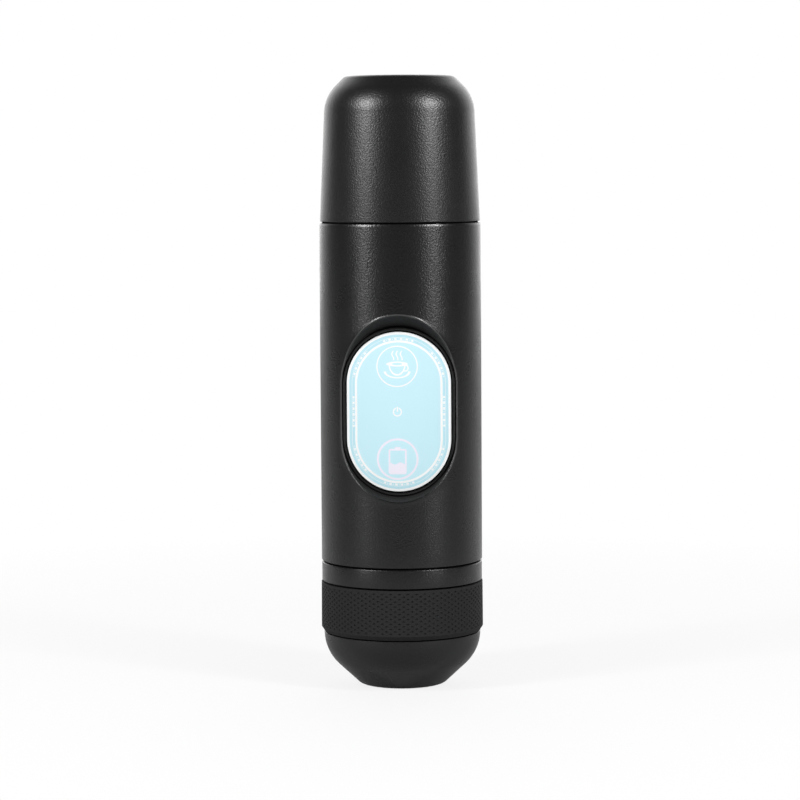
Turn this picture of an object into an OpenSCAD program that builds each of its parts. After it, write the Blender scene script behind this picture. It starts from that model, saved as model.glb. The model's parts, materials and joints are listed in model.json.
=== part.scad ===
// Portable coffee maker: tank on top, pump housing with a large oval button, brew collar and cup below.
// Millimetres. Origin at the centre of the cup's flat base, +Z up, button facing -Y.

/* [Housing] */
// Outside diameter of the housing
body_d = 62; // [60:0.5:68]
// Length of the housing between its two seams
body_h = 129.6; // [129.3:0.1:140]
// Wall of the housing
shell_wall = 2.2; // [1.8:0.1:2.6]
// Height of the gasket in each seam
seam_gap = 0.65; // [0.4:0.05:1]
// How far a gasket lies inside the skin
gasket_recess = 0.8; // [0.4:0.1:1.2]

/* [Tank] */
// Height of the tank above its seam
tank_h = 55.25; // [45:0.25:75]
// How much smaller the tank's radius is than the housing's
tank_step = 0.3; // [0:0.1:0.8]
// Angle at which the tank wall draws in
tank_taper = 2.6; // [1:0.1:3]
// Width of the tank's rounding, from its flat top out to its mouth
tank_round = 11.1; // [9:0.1:13]
// Rounding at the edge of that flat
tank_edge_r = 3; // [2.8:0.1:4]
// Radius of the tank's shoulder
tank_shoulder_r = 15; // [12:0.5:18]
// Slope of the tank's shoulder above the rounding
tank_slope = 45; // [40:1:50]
// Wall of the tank
tank_wall = 2.2; // [1.8:0.1:2.6]
// Height of the threaded neck that enters the tank
neck_h = 9; // [6:0.5:12]
// Wall of that neck
neck_wall = 2.2; // [1.8:0.1:3]
// Thickness of the bulkhead under the tank
bulkhead_t = 4; // [3:0.1:5]

/* [Cup] */
// Height of the bare bowl
bowl_h = 20.7; // [20:0.1:30]
// How much smaller the bowl's radius is than the housing's
bowl_step = 0.8; // [0.4:0.1:1.6]
// Width of the bowl's rounding, from its flat base out to the band
bowl_round = 15.55; // [14:0.05:17]
// Rounding at the edge of the base
base_edge_r = 4; // [3.6:0.1:5]
// Slope of the bowl above that rounding
bowl_slope = 43; // [40:1:46]
// Height of the upright part between the bowl's flank and the band
bowl_straight = 0.28; // [0.24:0.01:0.6]
// Wall of the cup behind the band
cup_wall = 2.1; // [1.8:0.1:2.6]
// Height of the rubber band
grip_h = 19.25; // [14:0.05:26]
// How far the band stands out beyond the housing
grip_out = 0.25; // [0:0.05:1]
// How much smaller the band's diameter is at the top
grip_draft = 0.2; // [0:0.05:0.6]
// Depth of the seat that the band lies in
grip_seat = 0.9; // [0.6:0.1:1.2]
// Height of the bevel below the band
grip_bevel = 1.6; // [0.8:0.1:2.4]
// Groove between band and bowl
grip_groove = 0.45; // [0.2:0.05:0.8]

/* [Brew collar] */
// Height of the plain ring
collar_h = 7.25; // [5:0.25:12]
// How much smaller the plain ring's radius is than the housing's
collar_step = 0.1; // [0:0.1:0.6]
// Depth of the socket that takes the collar
socket_depth = 9.8; // [8:0.1:12]
// Wall of that socket
socket_wall = 1.8; // [1.4:0.1:2.2]
// Depth to which the collar enters the cup
skirt_h = 6.9; // [6:0.1:10]
// Wall of the coffee holder round the basket's rim
holder_wall = 1.7; // [1.4:0.1:3]
// Depth of the coffee basket
basket_depth = 15.6; // [12:0.1:16]
// Sheet thickness of the basket
basket_t = 0.6; // [0.4:0.1:0.8]
// Width of the basket's rim
basket_rim = 3.4; // [2.8:0.1:3.6]
// Diameter of the holes in the coffee screen
screen_hole_d = 1.2; // [0.8:0.1:1.4]
// Inside diameter of the spout
spout_d = 6; // [4:0.5:8]
// Length of the spout below the coffee holder
spout_h = 6.5; // [4:0.5:9]
// Thickness of the plate above the socket
head_h = 6.4; // [5.6:0.1:9]

/* [Button] */
// Distance from the side of the button out to the housing's widest line
panel_side = 11.3; // [10:0.1:14]
// Height of the button
panel_h = 60.4; // [54:0.2:62]
// Height of the button's middle above the lower end of the housing
panel_up = 58.9; // [57:0.1:64]
// Depth of the middle of the button's face below the skin
panel_inset = 5.4; // [4.6:0.1:6]
// Radius across the button's face
crown_r = 70; // [60:1:120]
// Thickness of the button
panel_t = 2.2; // [1.8:0.1:2.4]
// Thickness of the face film
film_t = 0.25; // [0.2:0.05:0.4]
// Border of bare button round the film
film_border = 0.3; // [0.2:0.1:0.6]
// Travel of the button
button_travel = 0.8; // [0.4:0.1:1]
// Gap between button and bezel
button_gap = 0.55; // [0.3:0.05:0.7]
// Width of the bezel
bezel_w = 1.2; // [1:0.1:1.6]
// How far the bezel lies behind the button's face
bezel_drop = 0.5; // [0.2:0.1:0.9]
// Depth of the pocket's floor below the skin
pocket_depth = 12; // [11.6:0.1:12.2]
// Thickness of the pocket's floor
pocket_wall = 1.4; // [1.2:0.1:1.6]
// Depth below the skin at which the pocket begins to flare
flare_depth = 7.6; // [7:0.1:8.2]
// Width of the flare above the button, at the skin
flare_top = 4.4; // [3:0.1:5]
// Width of the flare below the button, at the skin
flare_bottom = 1.6; // [1:0.1:3]

/* [Pump and motor] */
// Gap between the pump and the water tube
pump_gap = 2.1; // [1.6:0.1:4]
// Height of the pump
pump_h = 18; // [17:0.5:18.5]
// How much smaller the motor's radius is than the pump's
motor_step = 1.8; // [1:0.1:4]
// Height of the motor
motor_h = 24; // [20:0.5:24.5]
// Diameter of the motor's shaft
shaft_d = 2.3; // [2:0.1:3]
// Share of the way out to the motor's screws that the shaft coupling takes
coupling_share = 0.59; // [0.5:0.01:0.65]
// Height of the room between pump and motor plates
coupling_room = 5.5; // [5:0.1:6]
// Outside diameter of the water tube
tube_d = 7.6; // [6.4:0.2:8]
// Bore of the water tube
tube_bore = 4.8; // [4:0.1:5]
// Distance of the water tube's middle from the edge of the chassis
tube_in = 8.5; // [8:0.1:9]
// Thickness of the chassis plates
plate_t = 2.5; // [2:0.1:2.6]

/* [Power] */
// Room beside the pair of cells
cell_side = 9.6; // [9:0.1:12]
// Thickness of the foam above the cells
pad_t = 1.6; // [1:0.1:4]
// Thickness of a circuit board
board_t = 1.6; // [1:0.1:1.8]
// Width of the control board
board_w = 32; // [28:0.5:33]
// Room between the control board and the button's clips
board_clear = 1.8; // [1.2:0.1:4]
// Height of the charging socket above the lower end of the housing
usb_up = 94; // [90:0.1:98]
// Width of the charging socket
usb_w = 8.94; // [8.9:0.01:9]
// Height of the charging socket
usb_h = 3.2; // [3.1:0.01:3.3]
// Width of the flap over the charging socket
flap_w = 11; // [10.6:0.1:11.4]

/* [Fits] */
// Gap between pieces that are fixed inside one another
fit_gap = 0.1; // [0.05:0.05:0.15]
// Gap between pieces that slide past each other
slide_gap = 0.3; // [0.25:0.05:0.35]
// Radial gap of a turning pin in its bore
run_gap = 0.05; // [0.03:0.01:0.08]

/* [Hidden] */
$fn = 96;

eps = 0.5;
arc_steps = 10;

// Levels of the seams, from the base up
z_grip = bowl_h + grip_h;
z_collar = z_grip + seam_gap;
z_ring = z_collar + collar_h;
z_body = z_ring + seam_gap;
z_top = z_body + body_h;
z_tank = z_top + seam_gap;
z_end = z_tank + tank_h;

// Housing and the insides that follow it
body_r = body_d / 2;
shell_r = body_r - shell_wall;
inner_r = shell_r - fit_gap;
z_bulkhead = z_top - bulkhead_t;

// Tank and its neck
tank_r = body_r - tank_step;
tank_flat_r = tank_r - tank_round;
tank_gasket_r = tank_r - gasket_recess;
neck_clear = 0.6;
neck_r = tank_r - (tank_wall + neck_h * sin(tank_taper)) / cos(tank_taper) - neck_clear;

// Cup
bowl_r = body_r - bowl_step;
base_r = bowl_r - bowl_round;
bowl_flank_r = (
    base_edge_r * (1 - cos(bowl_slope)) - bowl_round * sin(bowl_slope)
    + (bowl_h - bowl_straight) * cos(bowl_slope)
) / (1 - sin(bowl_slope));
cup_skin = cup_wall + grip_seat;
cup_in_r = bowl_r - cup_skin;
band_seat_r = bowl_r - grip_seat;
grip_r = body_r + grip_out;
z_band = bowl_h + grip_groove / 2;

// Coffee holder inside the collar, the socket above it and the plate over that
collar_r = body_r - collar_step;
socket_r = shell_r - socket_wall - fit_gap;
holder_r = socket_r - slide_gap;
skirt_r = cup_in_r - 2 * slide_gap;
z_socket = z_body + socket_depth;
z_head = z_socket + head_h;
rim_gap = 0.8;
rim_t = 0.8;
z_holder = z_socket - rim_gap;
z_rim = z_holder - rim_gap;
rim_r = holder_r - holder_wall - slide_gap;
basket_r = rim_r - basket_rim - basket_t;
z_ledge = z_rim - rim_t;
z_screen = z_rim - basket_depth;
screen_t = 0.6;
screen_ledge = 1.2;
screen_margin = 3.8;
z_basket = z_screen - screen_t - basket_t;
bore_r = basket_r + basket_t + slide_gap;
funnel_gap = 0.8;
funnel_h = 2;
z_funnel = z_basket - funnel_gap;
z_skirt = z_collar - skirt_h;
spout_r = spout_d / 2;
spout_wall = 2;
z_spout = z_skirt - spout_h;
edge_bevel = 0.4;

// Seal and shower under the plate
seal_groove = 1;
seal_w = 3;
seal_r = rim_r - fit_gap;
shower_r = basket_r - 2 * slide_gap;
shower_t = 0.8;
shower_film = 0.3;
z_shower = z_socket - shower_film - shower_t;
shower_screw_in = 8;
shower_screw_ring = shower_r - shower_screw_in;
shower_bite = 4;
outlet_wall = 1.6;
strainer_t = 1;
strainer_ring = 0.55;

// Chassis, and the water tube on a line to the right of the pump and a little forward
chassis_r = inner_r - slide_gap;
rail_t = 4;
rail_in = chassis_r - rail_t;
rail_half = 4.5;
tube_a = -17.5;
tube_r = tube_d / 2;
tube_off = chassis_r - tube_in;

// Pump and motor stack
pump_r = tube_off - tube_r - pump_gap;
motor_r = pump_r - motor_step;
shaft_r = shaft_d / 2;
stack_gap = 2;
z_pump = z_head + stack_gap;
z_plate = z_pump + pump_h;
z_mount = z_plate + plate_t + coupling_room;
z_motor = z_mount + plate_t;
z_shelf = z_motor + motor_h + stack_gap;
z_cells = z_shelf + plate_t;
boss_r = 3.2;
boss_h = 1.6;
shaft_depth = 6;
nozzle_r = 3;
nozzle_h = 3.6;
nozzle_bore = 1.5;
screw_r = 1.2;
screw_head_r = 2.2;
screw_head_h = 1.4;
screw_bite = 5;
pump_screw_in = 5;
pump_screw_off = pump_r - pump_screw_in;
motor_screw_in = 3.7;
motor_screw_off = motor_r - motor_screw_in;
coupling_r = motor_screw_off * coupling_share;

// Water way from the tube into the pump
barb_r = tube_bore / 2 - run_gap;
barb_wall = 0.9;
barb_bore = barb_r - barb_wall;
barb_h = 7;
port_r = 4.2;
port_out = 1.2;
port_end = pump_r + port_out;
port_drop = 2;
z_port = z_pump + pump_h / 2 - port_drop;
elbow_r = 3.4;

// Button pocket
panel_z = z_body + panel_up;
panel_w = 2 * (body_r - panel_side);
panel_front = body_r - panel_inset;
pocket_floor = body_r - pocket_depth;
flare_start = body_r - flare_depth;
bezel_in_w = panel_w + 2 * button_gap;
bezel_out_w = bezel_in_w + 2 * bezel_w;
pocket_w = bezel_out_w + 2 * fit_gap;
panel_straight = panel_h - panel_w;
pocket_h = pocket_w + panel_straight;
pocket_back = pocket_floor - pocket_wall;
crown_y = crown_r - panel_front;
post_r = 2.5;
pin_r = 1.6;
pin_in = 4.2;
pin_up = panel_h / 2 - pin_in;
clip_r = 3.2;
clip_t = 0.9;
clip_gap = 0.2;
pin_over = 0.4;
pin_end = pocket_back - clip_gap - clip_t - pin_over;

// Control board behind the pocket, with the switch in a hole of its floor
board_gap = 1;
board_front = pocket_back - board_gap;
board_back = board_front - board_t;
board_h = 2 * (pin_up - clip_r - board_clear);
board_room = 2.4;
plate_front = board_back - board_room;
board_boss_r = 2.2;
board_boss_in = 3;
board_boss_x = board_w / 2 - board_boss_in;
board_boss_z = board_h / 2 - board_boss_in;
board_screw_r = 0.9;
board_head_r = 1.8;
board_head_h = 1;
switch_w = 6;
switch_h = 3.5;
switch_gap = 0.7;
switch_front = board_front + switch_h;
plunger_r = 1.7;
plunger_out = 1.2;
plunger_in = 1;
led_in = 3.5;
led_up = board_h / 2 - led_in;
led_r = 2;
led_h = 1.8;

// Charging socket in the back, under a flap that swings down
usb_z = z_body + usb_up;
usb_depth = 7.3;
usb_shell = 0.3;
usb_back = 1;
usb_tongue = 0.7;
tongue_side = 0.9;
tongue_in = 1.2;
recess_depth = 2.4;
recess_y = body_r - recess_depth;
recess_wall = 2;
flap_t = 2.1;
flap_half = flap_w / 2;
recess_half = flap_half + slide_gap;
hinge_r = 0.7;
trunnion_r = 0.45;
trunnion_l = 0.8;
hinge_y = recess_y + hinge_r + slide_gap - run_gap;
hinge_drop = 7.3;
hinge_z = usb_z - hinge_drop;
hinge_room = 1.8;
flap_rise = 0.6;
flap_low = hinge_z + flap_rise;
flap_up = 5.5;
flap_high = usb_z + flap_up;
recess_low = hinge_z - hinge_room;
recess_high = flap_high + slide_gap;
trunnion_wall = 1.4;
usb_block_half = recess_half + trunnion_l + trunnion_wall;
charge_front = recess_y - usb_depth;
charge_back = charge_front - board_t;
charge_half = 8;
charge_below = 13;
charge_low = usb_z - charge_below;
charge_above = 5;
charge_high = usb_z + charge_above;
charge_post_x = 5;
charge_post_drop = 9.5;
charge_post_z = usb_z - charge_post_drop;
charge_post_r = 2;
charge_bite = 4;

// Cells, in front of the charging board
cell_split = 0.4;
cell_r = (chassis_r - cell_side - cell_split) / 2;
cell_x = cell_r + cell_split;
cell_gap = 2.5;
cell_y = charge_back - cell_gap - cell_r;
cell_h = z_bulkhead - pad_t - z_cells;
cell_tip_r = 3;
cell_tip_h = 0.8;
clip_drop = 15.5;
z_clip = z_cells + cell_h - clip_drop;

// Points on an arc, as offsets from its centre
function arc(c, r, a0, a1) =
    [for (i = [0:arc_steps]) let (a = a0 + (a1 - a0) * i / arc_steps) c + r * [cos(a), sin(a)]];

// Side of a vessel from the middle of its flat end to its mouth, as [radius, depth]: a rounded edge, a slope
// tangent to it, a flank of larger radius and a tapered wall. `off` is the distance inside the skin.
function vessel(end_r, edge_r, slope, flank_r, mouth_r, height, taper, off) =
    let (
        c = sin(slope),
        s = cos(slope),
        reach = mouth_r - height * tan(taper) - flank_r / cos(taper) - end_r,
        flank_d = (edge_r - flank_r - edge_r * s - reach * c) / (tan(taper) * c - s),
        flank_x = mouth_r - (height - flank_d) * tan(taper) - flank_r / cos(taper)
    )
    concat(
        [[0, off]],
        arc([end_r, edge_r], edge_r - off, -90, slope - 90),
        arc([flank_x, flank_d], flank_r - off, slope - 90, -taper),
        [[mouth_r - off / cos(taper), height]]
    );

function tank_side(off) = vessel(
    tank_flat_r, tank_edge_r, tank_slope, tank_shoulder_r, tank_r, tank_h, tank_taper, off
);
function bowl_side(off) = vessel(base_r, base_edge_r, bowl_slope, bowl_flank_r, bowl_r, bowl_h, 0, off);
function reversed(list) = [for (i = [len(list) - 1:-1:0]) list[i]];

module tube(r_out, r_in, z0, z1) {
    translate([0, 0, z0])
        difference() {
            cylinder(r = r_out, h = z1 - z0);
            translate([0, 0, -eps]) cylinder(r = r_in, h = z1 - z0 + 2 * eps);
        }
}

module rod(r, z0, z1) {
    translate([0, 0, z0]) cylinder(r = r, h = z1 - z0);
}

// Round bar along Y between two depths, at x and z
module bar_y(r, x, z, y0, y1) {
    translate([x, y0, z]) rotate([-90, 0, 0]) cylinder(r = r, h = y1 - y0);
}

// Flat outline in the XZ plane at height z, drawn out along Y between two depths
module slab_y(z, y0, y1) {
    translate([0, y1, z]) rotate([90, 0, 0]) linear_extrude(y1 - y0) children();
}

module stadium(w, h) {
    square([w, h - w], center = true);
    translate([0, (h - w) / 2]) circle(d = w);
    translate([0, (w - h) / 2]) circle(d = w);
}

module block(x0, x1, y0, y1, z0, z1) {
    translate([x0, y0, z0]) cube([x1 - x0, y1 - y0, z1 - z0]);
}

module on_tube_line() {
    rotate([0, 0, tube_a]) translate([tube_off, 0, 0]) children();
}

module cap_screw(z_seat, z_tip, x, y) {
    translate([x, y, 0]) {
        rod(screw_r, min(z_seat, z_tip), max(z_seat, z_tip));
        if (z_tip > z_seat) rod(screw_head_r, z_seat - screw_head_h, z_seat);
        if (z_tip < z_seat) rod(screw_head_r, z_seat, z_seat + screw_head_h);
    }
}

module crown_cylinder(drop) {
    translate([0, crown_y, panel_z - panel_h]) cylinder(r = crown_r - drop, h = 2 * panel_h);
}

// Stadium with the button's curved face in front and behind
module crowned(w, h, drop, thick) {
    difference() {
        intersection() {
            slab_y(panel_z, -body_r, 0) stadium(w, h);
            crown_cylinder(drop);
        }
        crown_cylinder(drop + thick);
    }
}

// Tank
module water_tank() {
    skin = [for (p = tank_side(0)) [p[0], z_end - p[1]]];
    hollow = [for (p = tank_side(tank_wall)) [p[0], z_end - p[1]]];
    color([0.13, 0.13, 0.14]) rotate_extrude() polygon(concat(skin, reversed(hollow)));
}

module tank_gasket() {
    color([0.03, 0.03, 0.03]) tube(tank_gasket_r, neck_r + slide_gap, z_top, z_tank);
}

module tank_neck() {
    color([0.16, 0.16, 0.17])
        difference() {
            union() {
                rod(inner_r, z_bulkhead, z_top);
                tube(neck_r, neck_r - neck_wall, z_top - eps, z_top + neck_h);
                on_tube_line() rod(barb_r, z_bulkhead - barb_h, z_bulkhead + eps);
            }
            on_tube_line() {
                rod(barb_bore, z_bulkhead - barb_h - eps, z_top + eps);
                rod(port_r + fit_gap, z_top - strainer_t, z_top + eps);
            }
        }
}

module inlet_filter() {
    holes = 6;
    color([0.75, 0.76, 0.78])
        on_tube_line()
            difference() {
                rod(port_r, z_top - strainer_t, z_top);
                rod(screen_hole_d / 2, z_top - strainer_t - eps, z_top + eps);
                for (i = [0:holes - 1])
                    rotate(i * 360 / holes)
                        translate([port_r * strainer_ring, 0, 0])
                            rod(screen_hole_d / 2, z_top - strainer_t - eps, z_top + eps);
            }
}

module inlet_tube() {
    color([0.85, 0.86, 0.86])
        on_tube_line() tube(tube_r, tube_bore / 2, z_port + elbow_r + fit_gap, z_bulkhead);
}

module inlet_elbow() {
    color([0.2, 0.2, 0.21])
        difference() {
            union() {
                on_tube_line() {
                    rod(barb_r, z_port, z_port + elbow_r + barb_h);
                    translate([0, 0, z_port]) sphere(r = elbow_r);
                }
                rotate([0, 0, tube_a]) translate([port_end, 0, z_port]) rotate([0, 90, 0])
                    cylinder(r = elbow_r, h = tube_off - port_end);
            }
            on_tube_line() rod(barb_bore, z_port, z_port + elbow_r + barb_h + eps);
            rotate([0, 0, tube_a]) translate([port_end - eps, 0, z_port]) rotate([0, 90, 0])
                cylinder(r = barb_bore, h = tube_off - port_end + eps);
        }
}

// Housing
module pocket_cut() {
    slab_y(panel_z, -body_r - eps, -pocket_floor) stadium(pocket_w, pocket_h);
    for (side = [1, -1]) {
        flare = side > 0 ? flare_top : flare_bottom;
        translate([0, -flare_start, panel_z + side * panel_straight / 2])
            rotate([90, 0, 0])
                cylinder(r1 = pocket_w / 2, r2 = pocket_w / 2 + 2 * flare, h = 2 * flare_depth);
    }
}

module usb_recess() {
    block(-recess_half, recess_half, recess_y, body_r + eps, recess_low, recess_high);
    translate([-recess_half - trunnion_l - fit_gap, hinge_y, hinge_z])
        rotate([0, 90, 0]) cylinder(r = trunnion_r + run_gap, h = 2 * (recess_half + trunnion_l + fit_gap));
    slab_y(usb_z, charge_front, body_r) stadium_flat(usb_w + 2 * fit_gap, usb_h + 2 * fit_gap);
}

// Stadium lying on its side
module stadium_flat(w, h) {
    rotate(90) stadium(h, w);
}

module body_shell() {
    pocket_low = panel_z - pocket_h / 2 - flare_bottom - shell_wall;
    pocket_high = panel_z + pocket_h / 2 + flare_top + shell_wall;
    lining_r = body_r - shell_wall / 2;
    color([0.13, 0.13, 0.14])
        difference() {
            union() {
                tube(body_r, shell_r, z_body, z_top);
                intersection() {
                    rod(lining_r, z_body, z_top);
                    union() {
                        block(-body_r, body_r, -body_r, -pocket_back, pocket_low, pocket_high);
                        block(
                            -usb_block_half, usb_block_half, recess_y - recess_wall, body_r,
                            recess_low - shell_wall, recess_high + shell_wall
                        );
                    }
                }
                for (x = [-1, 1], z = [-1, 1])
                    bar_y(
                        board_boss_r, x * board_boss_x, panel_z + z * board_boss_z,
                        -pocket_back - eps, -board_front
                    );
                for (x = [-1, 1])
                    bar_y(charge_post_r, x * charge_post_x, charge_post_z, charge_front, recess_y - eps);
            }
            pocket_cut();
            usb_recess();
            slab_y(panel_z, -pocket_floor - eps, 0) square(switch_w + 2 * switch_gap, center = true);
            for (z = [-1, 1]) {
                bar_y(pin_r + run_gap, 0, panel_z + z * pin_up, -pocket_floor - eps, 0);
                bar_y(led_r + fit_gap, 0, panel_z + z * led_up, -pocket_floor - eps, 0);
            }
            for (x = [-1, 1], z = [-1, 1])
                bar_y(
                    board_screw_r + run_gap, x * board_boss_x, panel_z + z * board_boss_z,
                    -pocket_back - pocket_wall / 2, 0
                );
            for (x = [-1, 1])
                bar_y(board_screw_r + run_gap, x * charge_post_x, charge_post_z, 0, recess_y - recess_wall);
        }
}

module button_bezel() {
    color([0.1, 0.1, 0.11])
        intersection() {
            slab_y(panel_z, -body_r, -pocket_floor)
                difference() {
                    stadium(bezel_out_w, bezel_out_w + panel_straight);
                    stadium(bezel_in_w, bezel_in_w + panel_straight);
                }
            crown_cylinder(bezel_drop);
        }
}

module button_panel() {
    clip_front = pocket_back - clip_gap - clip_t;
    color([0.93, 0.96, 0.97])
        difference() {
            union() {
                crowned(panel_w, panel_h, film_t, panel_t);
                intersection() {
                    union() {
                        bar_y(post_r, 0, panel_z, -panel_front, -switch_front - plunger_out);
                        for (z = [-1, 1])
                            bar_y(pin_r, 0, panel_z + z * pin_up, -panel_front, -pin_end);
                    }
                    crown_cylinder(film_t + panel_t / 2);
                }
            }
            for (z = [-1, 1])
                translate([0, -clip_front, panel_z + z * pin_up])
                    rotate([90, 0, 0]) tube(pin_r + eps, pin_r / 2, 0, clip_t);
        }
}

module button_film() {
    film_w = panel_w - 2 * film_border;
    color([0.78, 0.94, 0.98]) crowned(film_w, film_w + panel_straight, 0, film_t);
}

module button_clips() {
    color([0.7, 0.71, 0.73])
        for (z = [-1, 1])
            translate([0, -pocket_back + clip_gap, panel_z + z * pin_up])
                rotate([-90, 0, 0]) tube(clip_r, pin_r / 2 + run_gap, 0, clip_t);
}

module control_board() {
    chips = [[-8, 6, 7, 7], [7, 4, 5, 9], [-4, -10, 10, 4], [9, -11, 4, 4]];
    chip_h = 1.4;
    color([0.08, 0.3, 0.16])
        difference() {
            union() {
                slab_y(panel_z, -board_front, -board_back) square([board_w, board_h], center = true);
                for (c = chips)
                    translate([c[0], 0, c[1]])
                        slab_y(panel_z, -board_back - eps, -board_back + chip_h)
                            square([c[2], c[3]], center = true);
            }
            for (x = [-1, 1], z = [-1, 1])
                bar_y(
                    board_screw_r + run_gap, x * board_boss_x, panel_z + z * board_boss_z,
                    -board_front - eps, 0
                );
        }
}

module board_screws() {
    color([0.72, 0.73, 0.75])
        for (x = [-1, 1], z = [-1, 1]) {
            bar_y(
                board_screw_r, x * board_boss_x, panel_z + z * board_boss_z,
                -pocket_back - pocket_wall / 2 + fit_gap, -board_back
            );
            bar_y(
                board_head_r, x * board_boss_x, panel_z + z * board_boss_z,
                -board_back, -board_back + board_head_h
            );
        }
}

module tact_switch() {
    color([0.15, 0.15, 0.16])
        difference() {
            slab_y(panel_z, -switch_front, -board_front) square(switch_w, center = true);
            bar_y(
                plunger_r + run_gap, 0, panel_z,
                -switch_front - eps, -switch_front + plunger_in + 2 * button_travel
            );
        }
}

module switch_plunger() {
    color([0.8, 0.2, 0.15])
        bar_y(plunger_r, 0, panel_z, -switch_front - plunger_out, -switch_front + plunger_in);
}

module indicator_leds() {
    color([0.95, 0.93, 0.85])
        for (z = [-1, 1])
            bar_y(led_r, 0, panel_z + z * led_up, -board_front - led_h, -board_front);
}

// Chassis, pump and motor
module chassis_plate(z0) {
    difference() {
        rod(chassis_r, z0, z0 + plate_t);
        block(-body_r, body_r, -body_r, -plate_front, z0 - eps, z0 + plate_t + eps);
        on_tube_line() rod(tube_r + slide_gap, z0 - eps, z0 + plate_t + eps);
    }
}

module chassis() {
    color([0.3, 0.31, 0.33])
        difference() {
            union() {
                chassis_plate(z_plate);
                chassis_plate(z_mount);
                chassis_plate(z_shelf);
                chassis_plate(z_clip);
                intersection() {
                    rod(chassis_r, z_head, z_bulkhead);
                    for (side = [0, 180])
                        rotate(side) block(rail_in, body_r, -rail_half, rail_half, z_head, z_bulkhead);
                }
            }
            rod(coupling_r, z_plate - eps, z_plate + plate_t + eps);
            rod(boss_r + slide_gap, z_mount - eps, z_mount + plate_t + eps);
            for (side = [-1, 1]) {
                translate([side * pump_screw_off, 0, 0])
                    rod(screw_r + run_gap, z_plate - eps, z_plate + plate_t + eps);
                translate([0, side * motor_screw_off, 0])
                    rod(screw_r + run_gap, z_mount - eps, z_motor + eps);
                translate([side * cell_x, cell_y, 0])
                    rod(cell_r + slide_gap, z_clip - eps, z_clip + plate_t + eps);
            }
            block(-charge_half, charge_half, cell_y + cell_r, body_r, z_clip - eps, z_clip + plate_t + eps);
        }
}

module pump_head() {
    flange_h = 3;
    flange_step = 1.2;
    flange_gap = 0.6;
    z_flange = z_port + port_r + flange_gap;
    color([0.82, 0.83, 0.84])
        difference() {
            union() {
                rod(pump_r - flange_step, z_pump, z_plate);
                rod(pump_r, z_flange, z_flange + flange_h);
                rod(nozzle_r, z_pump - nozzle_h, z_pump + eps);
                rotate([0, 0, tube_a]) translate([pump_r / 2, 0, z_port]) rotate([0, 90, 0])
                    cylinder(r = port_r, h = port_end - pump_r / 2);
            }
            rod(nozzle_bore, z_pump - nozzle_h - eps, z_pump + stack_gap);
            rod(shaft_r + run_gap, z_plate - shaft_depth, z_plate + eps);
            for (side = [-1, 1])
                translate([side * pump_screw_off, 0, 0])
                    rod(screw_r + run_gap, z_plate - screw_bite, z_plate + eps);
            rotate([0, 0, tube_a]) translate([pump_r - 2 * flange_step, 0, z_port]) rotate([0, 90, 0])
                cylinder(r = barb_bore, h = pump_r);
        }
}

module pump_screws() {
    color([0.72, 0.73, 0.75])
        for (side = [-1, 1])
            cap_screw(z_plate + plate_t, z_plate - screw_bite + fit_gap, side * pump_screw_off, 0);
}

module motor() {
    cap_step = 2;
    cap_h = 3;
    tab_w = 2.4;
    tab_t = 0.5;
    tab_h = 1.6;
    tab_in = 5.2;
    tab_off = motor_r - tab_in;
    color([0.62, 0.63, 0.65])
        difference() {
            union() {
                rod(motor_r, z_motor, z_motor + motor_h - cap_h);
                rod(motor_r - cap_step, z_motor, z_motor + motor_h);
                rod(boss_r, z_motor - boss_h, z_motor + eps);
                for (side = [-1, 1])
                    block(
                        side * tab_off - tab_w / 2, side * tab_off + tab_w / 2, -tab_t / 2, tab_t / 2,
                        z_motor + motor_h - eps, z_motor + motor_h + tab_h
                    );
            }
            rod(shaft_r + run_gap, z_motor - boss_h - eps, z_motor + shaft_depth);
            for (side = [-1, 1])
                translate([0, side * motor_screw_off, 0])
                    rod(screw_r + run_gap, z_motor - eps, z_motor + screw_bite);
        }
}

module motor_screws() {
    color([0.72, 0.73, 0.75])
        for (side = [-1, 1])
            cap_screw(z_mount, z_motor + screw_bite - fit_gap, 0, side * motor_screw_off);
}

module motor_shaft() {
    color([0.78, 0.79, 0.81]) rod(shaft_r, z_plate - shaft_depth + fit_gap, z_motor + shaft_depth - fit_gap);
}

module drive_coupling() {
    hub_gap = 0.6;
    flat_depth = 1;
    hub_r = coupling_r - 2 * slide_gap;
    color([0.7, 0.55, 0.25])
        difference() {
            tube(hub_r, shaft_r, z_plate + plate_t + hub_gap, z_mount - hub_gap);
            for (side = [0, 180])
                rotate(side)
                    block(hub_r - flat_depth, body_r, -body_r, body_r, z_plate, z_motor);
        }
}

module outlet_seal() {
    color([0.06, 0.06, 0.06]) tube(nozzle_r + outlet_wall, nozzle_r + fit_gap, z_head, z_pump);
}

// Brew head
module brew_head() {
    color([0.17, 0.17, 0.18])
        difference() {
            rod(inner_r, z_body, z_head);
            rod(socket_r, z_body - eps, z_socket);
            tube(seal_r, seal_r - seal_w, z_socket - eps, z_socket + seal_groove);
            rod(nozzle_r + fit_gap, z_pump - nozzle_h - fit_gap, z_head + eps);
            rod(nozzle_bore, z_socket - eps, z_head);
            for (i = [0:2])
                rotate(90 + i * 120) translate([shower_screw_ring, 0, 0])
                    rod(screw_r + run_gap, z_socket - eps, z_socket + shower_bite);
        }
}

module shower_plate() {
    rings = 3;
    ring_step = (shower_r - screen_margin) / rings;
    color([0.76, 0.77, 0.79])
        difference() {
            rod(shower_r, z_shower, z_shower + shower_t);
            for (k = [1:rings], i = [0:6 * k - 1])
                rotate(30 / k + i * 60 / k) translate([k * ring_step, 0, 0])
                    rod(screen_hole_d / 2, z_shower - eps, z_socket);
            for (i = [0:2])
                rotate(90 + i * 120) translate([shower_screw_ring, 0, 0])
                    rod(screw_r + run_gap, z_shower - eps, z_socket);
        }
}

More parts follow.
